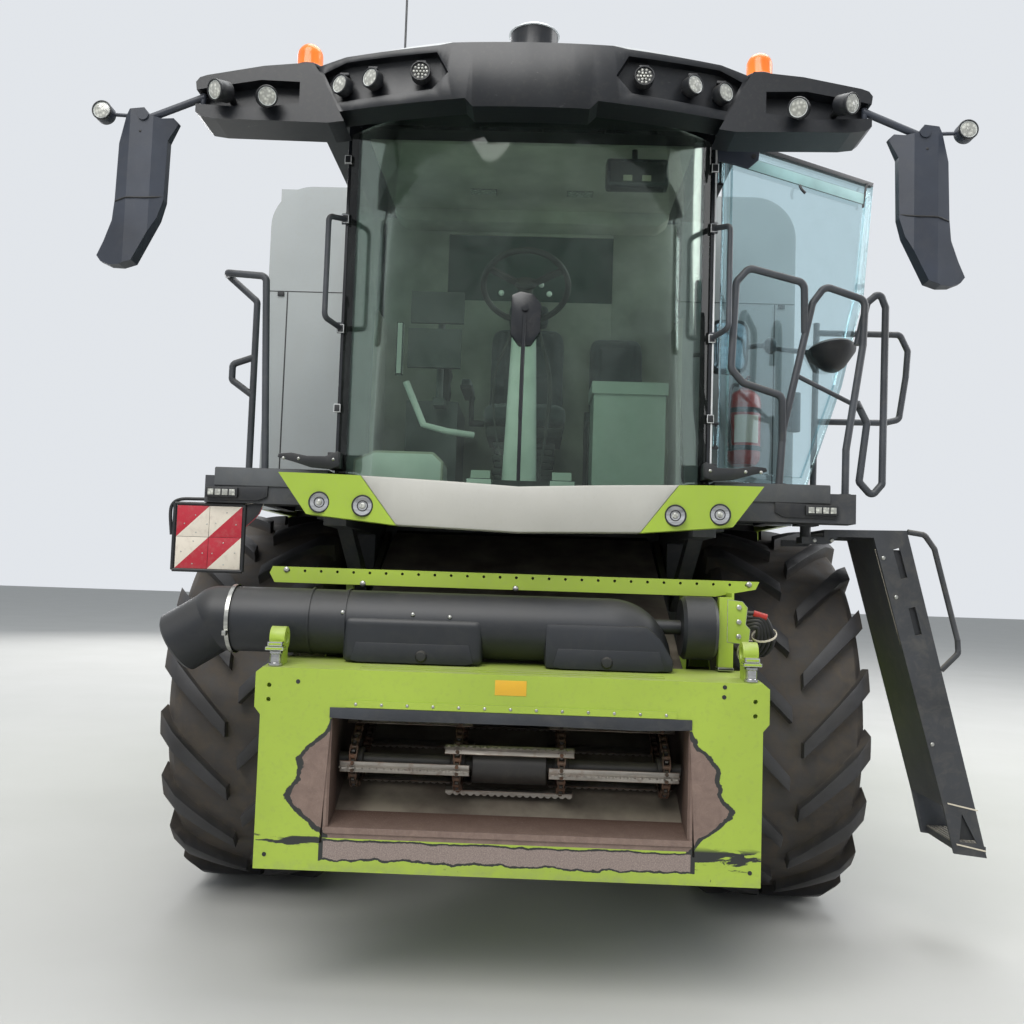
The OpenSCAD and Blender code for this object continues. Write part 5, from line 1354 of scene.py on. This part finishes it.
s.block((0.13, 0.25), (-1.118, -1.09), (2.06, 2.10), 0.004)
s.piece("cab_details", "machine")


# Seats

def pillow(s, centre, size, turn=None, hard=0.32, around=64, up=24):
    """Crowned closed pad with rounded sides, size being its full width, depth and height."""
    half = [full / 2 for full in size]
    rings = []
    for i in range(1, up):
        a = -math.pi / 2 + math.pi * i / up
        reach, height = squarish(math.cos(a), hard), squarish(math.sin(a), hard)
        rings.append([(half[0] * squarish(math.cos(b), hard) * reach,
                       half[1] * squarish(math.sin(b), hard) * reach, half[2] * height)
                      for b in angles(around)])
    place = Matrix.Translation(centre) @ (turn or Matrix())
    s.rings(rings, turn=place)


def swell(obj, cap, voxel=0.0065, pressure=4.0):
    """Blows a pad up as cloth, then holds each point within cap of its start."""
    scene = bpy.context.scene
    remesh = obj.modifiers.new("remesh", "REMESH")
    remesh.mode = "VOXEL"
    remesh.voxel_size = voxel
    graph = bpy.context.evaluated_depsgraph_get()
    start = bpy.data.meshes.new_from_object(obj.evaluated_get(graph))
    obj.modifiers.clear()
    obj.data = start
    first = [v.co.copy() for v in start.vertices]
    cloth = obj.modifiers.new("cloth", "CLOTH")
    cloth.settings.quality = 4
    cloth.settings.mass = 0.4
    cloth.settings.tension_stiffness = 18
    cloth.settings.compression_stiffness = 18
    cloth.settings.bending_stiffness = 2
    cloth.settings.use_pressure = True
    cloth.settings.uniform_pressure_force = pressure
    cloth.settings.effector_weights.gravity = 0
    cloth.collision_settings.use_collision = False
    cloth.point_cache.frame_start = 1
    cloth.point_cache.frame_end = 20
    for number in range(1, 21):
        scene.frame_set(number)
    graph = bpy.context.evaluated_depsgraph_get()
    moved = [v.co.copy() for v in obj.evaluated_get(graph).data.vertices]
    obj.modifiers.clear()
    for vertex, old, new in zip(start.vertices, first, moved):
        shift = new - old
        if shift.length > cap:
            shift *= cap / shift.length
        vertex.co = old + shift
    scene.frame_set(1)
    for face in start.polygons:
        face.use_smooth = True


def sew(obj, place, lines, depth=0.007, wide=0.011):
    """Presses sewn channels into a pad. lines are (axis, at, span axis, low, high) in the pad's own frame."""
    back = place.inverted()
    mesh = obj.data
    mesh.update()
    for vertex in mesh.vertices:
        p = back @ (vertex.co - ORIGIN)
        push = 0.0
        for axis, at, span, low, high in lines:
            if low < p[span] < high:
                push = max(push, math.exp(-((p[axis] - at) / wide) ** 2))
        if push > 0.02:
            vertex.co -= vertex.normal * depth * push
    mesh.update()


def pad(name, centre, size, tilt, cap, lines, replaces=()):
    """Padded piece of the seats, blown up as cloth and then sewn."""
    s = Shape(SEAT)
    turn = Matrix.Rotation(math.radians(tilt), 4, "X")
    pillow(s, (0, 0, 0), size, Matrix.Translation(centre) @ turn)
    made = s.piece(name, "machine", replaces, smooth=180)
    swell(made, cap)
    sew(made, Matrix.Translation(centre) @ turn, lines)
    return made


s = Shape(DARK_TRIM)
s.block((-0.15, 0.15), (-0.42, -0.06), (2.025, 2.30), 0.01)
for k in range(7):
    z = 2.12 + k * 0.035
    s.block((-0.165 + (k % 2) * 0.012, 0.165 - (k % 2) * 0.012), (-0.435, -0.045), (z, z + 0.033), 0.012)
s.block((-0.20, 0.20), (-0.47, -0.04), (2.38, 2.44), 0.012)
s.block((-0.345, -0.285), (-0.44, -0.06), (2.64, 2.66), 0.008)
s.block((-0.31, -0.285), (-0.20, -0.15), (2.48, 2.65), 0.006)
s.block((-0.31, -0.225), (-0.20, -0.15), (2.48, 2.51), 0.006)
for x in (-0.06, 0.06):
    s.tube([(x, 0.045, 3.0), (x, 0.06, 3.12)], 0.008, 10)
s.use(TRIM)
s.block((0.33, 0.68), (-0.42, -0.06), (2.025, 2.49), 0.015)
s.block((0.33, 0.68), (-0.06, -0.02), (2.40, 2.60), 0.01)
s.piece("seat_base", "machine", ["driver_seat"])

pad("seat_cushion", (0, -0.268, 2.498), (0.455, 0.475, 0.10), -2.5, 0.012,
    [(0, -0.14, 1, -0.22, 0.22), (0, 0.14, 1, -0.22, 0.22), (1, -0.13, 0, -0.14, 0.14)], ["driver_seat"])
pad("seat_back", (0, 0.012, 2.80), (0.435, 0.10, 0.57), -7.0, 0.012,
    [(0, -0.13, 2, -0.27, 0.25), (0, 0.13, 2, -0.27, 0.25), (2, -0.02, 0, -0.13, 0.13),
     (2, 0.16, 0, -0.13, 0.13)])
pad("head_rest", (0, 0.044, 3.158), (0.225, 0.062, 0.13), -8.0, 0.006, [(2, 0.0, 0, -0.1, 0.1)])
pad("arm_rest", (-0.315, -0.25, 2.675), (0.055, 0.37, 0.045), 0, 0.005, [(1, -0.1, 0, -0.03, 0.03)])
pad("guest_cushion", (0.505, -0.245, 2.537), (0.315, 0.35, 0.066), -1.5, 0.008, [(1, 0.0, 0, -0.15, 0.15)])
pad("guest_back", (0.505, 0.0, 2.79), (0.315, 0.056, 0.50), -7.5, 0.008,
    [(0, -0.10, 2, -0.22, 0.2), (0, 0.10, 2, -0.22, 0.2), (2, 0.19, 0, -0.1, 0.1)])
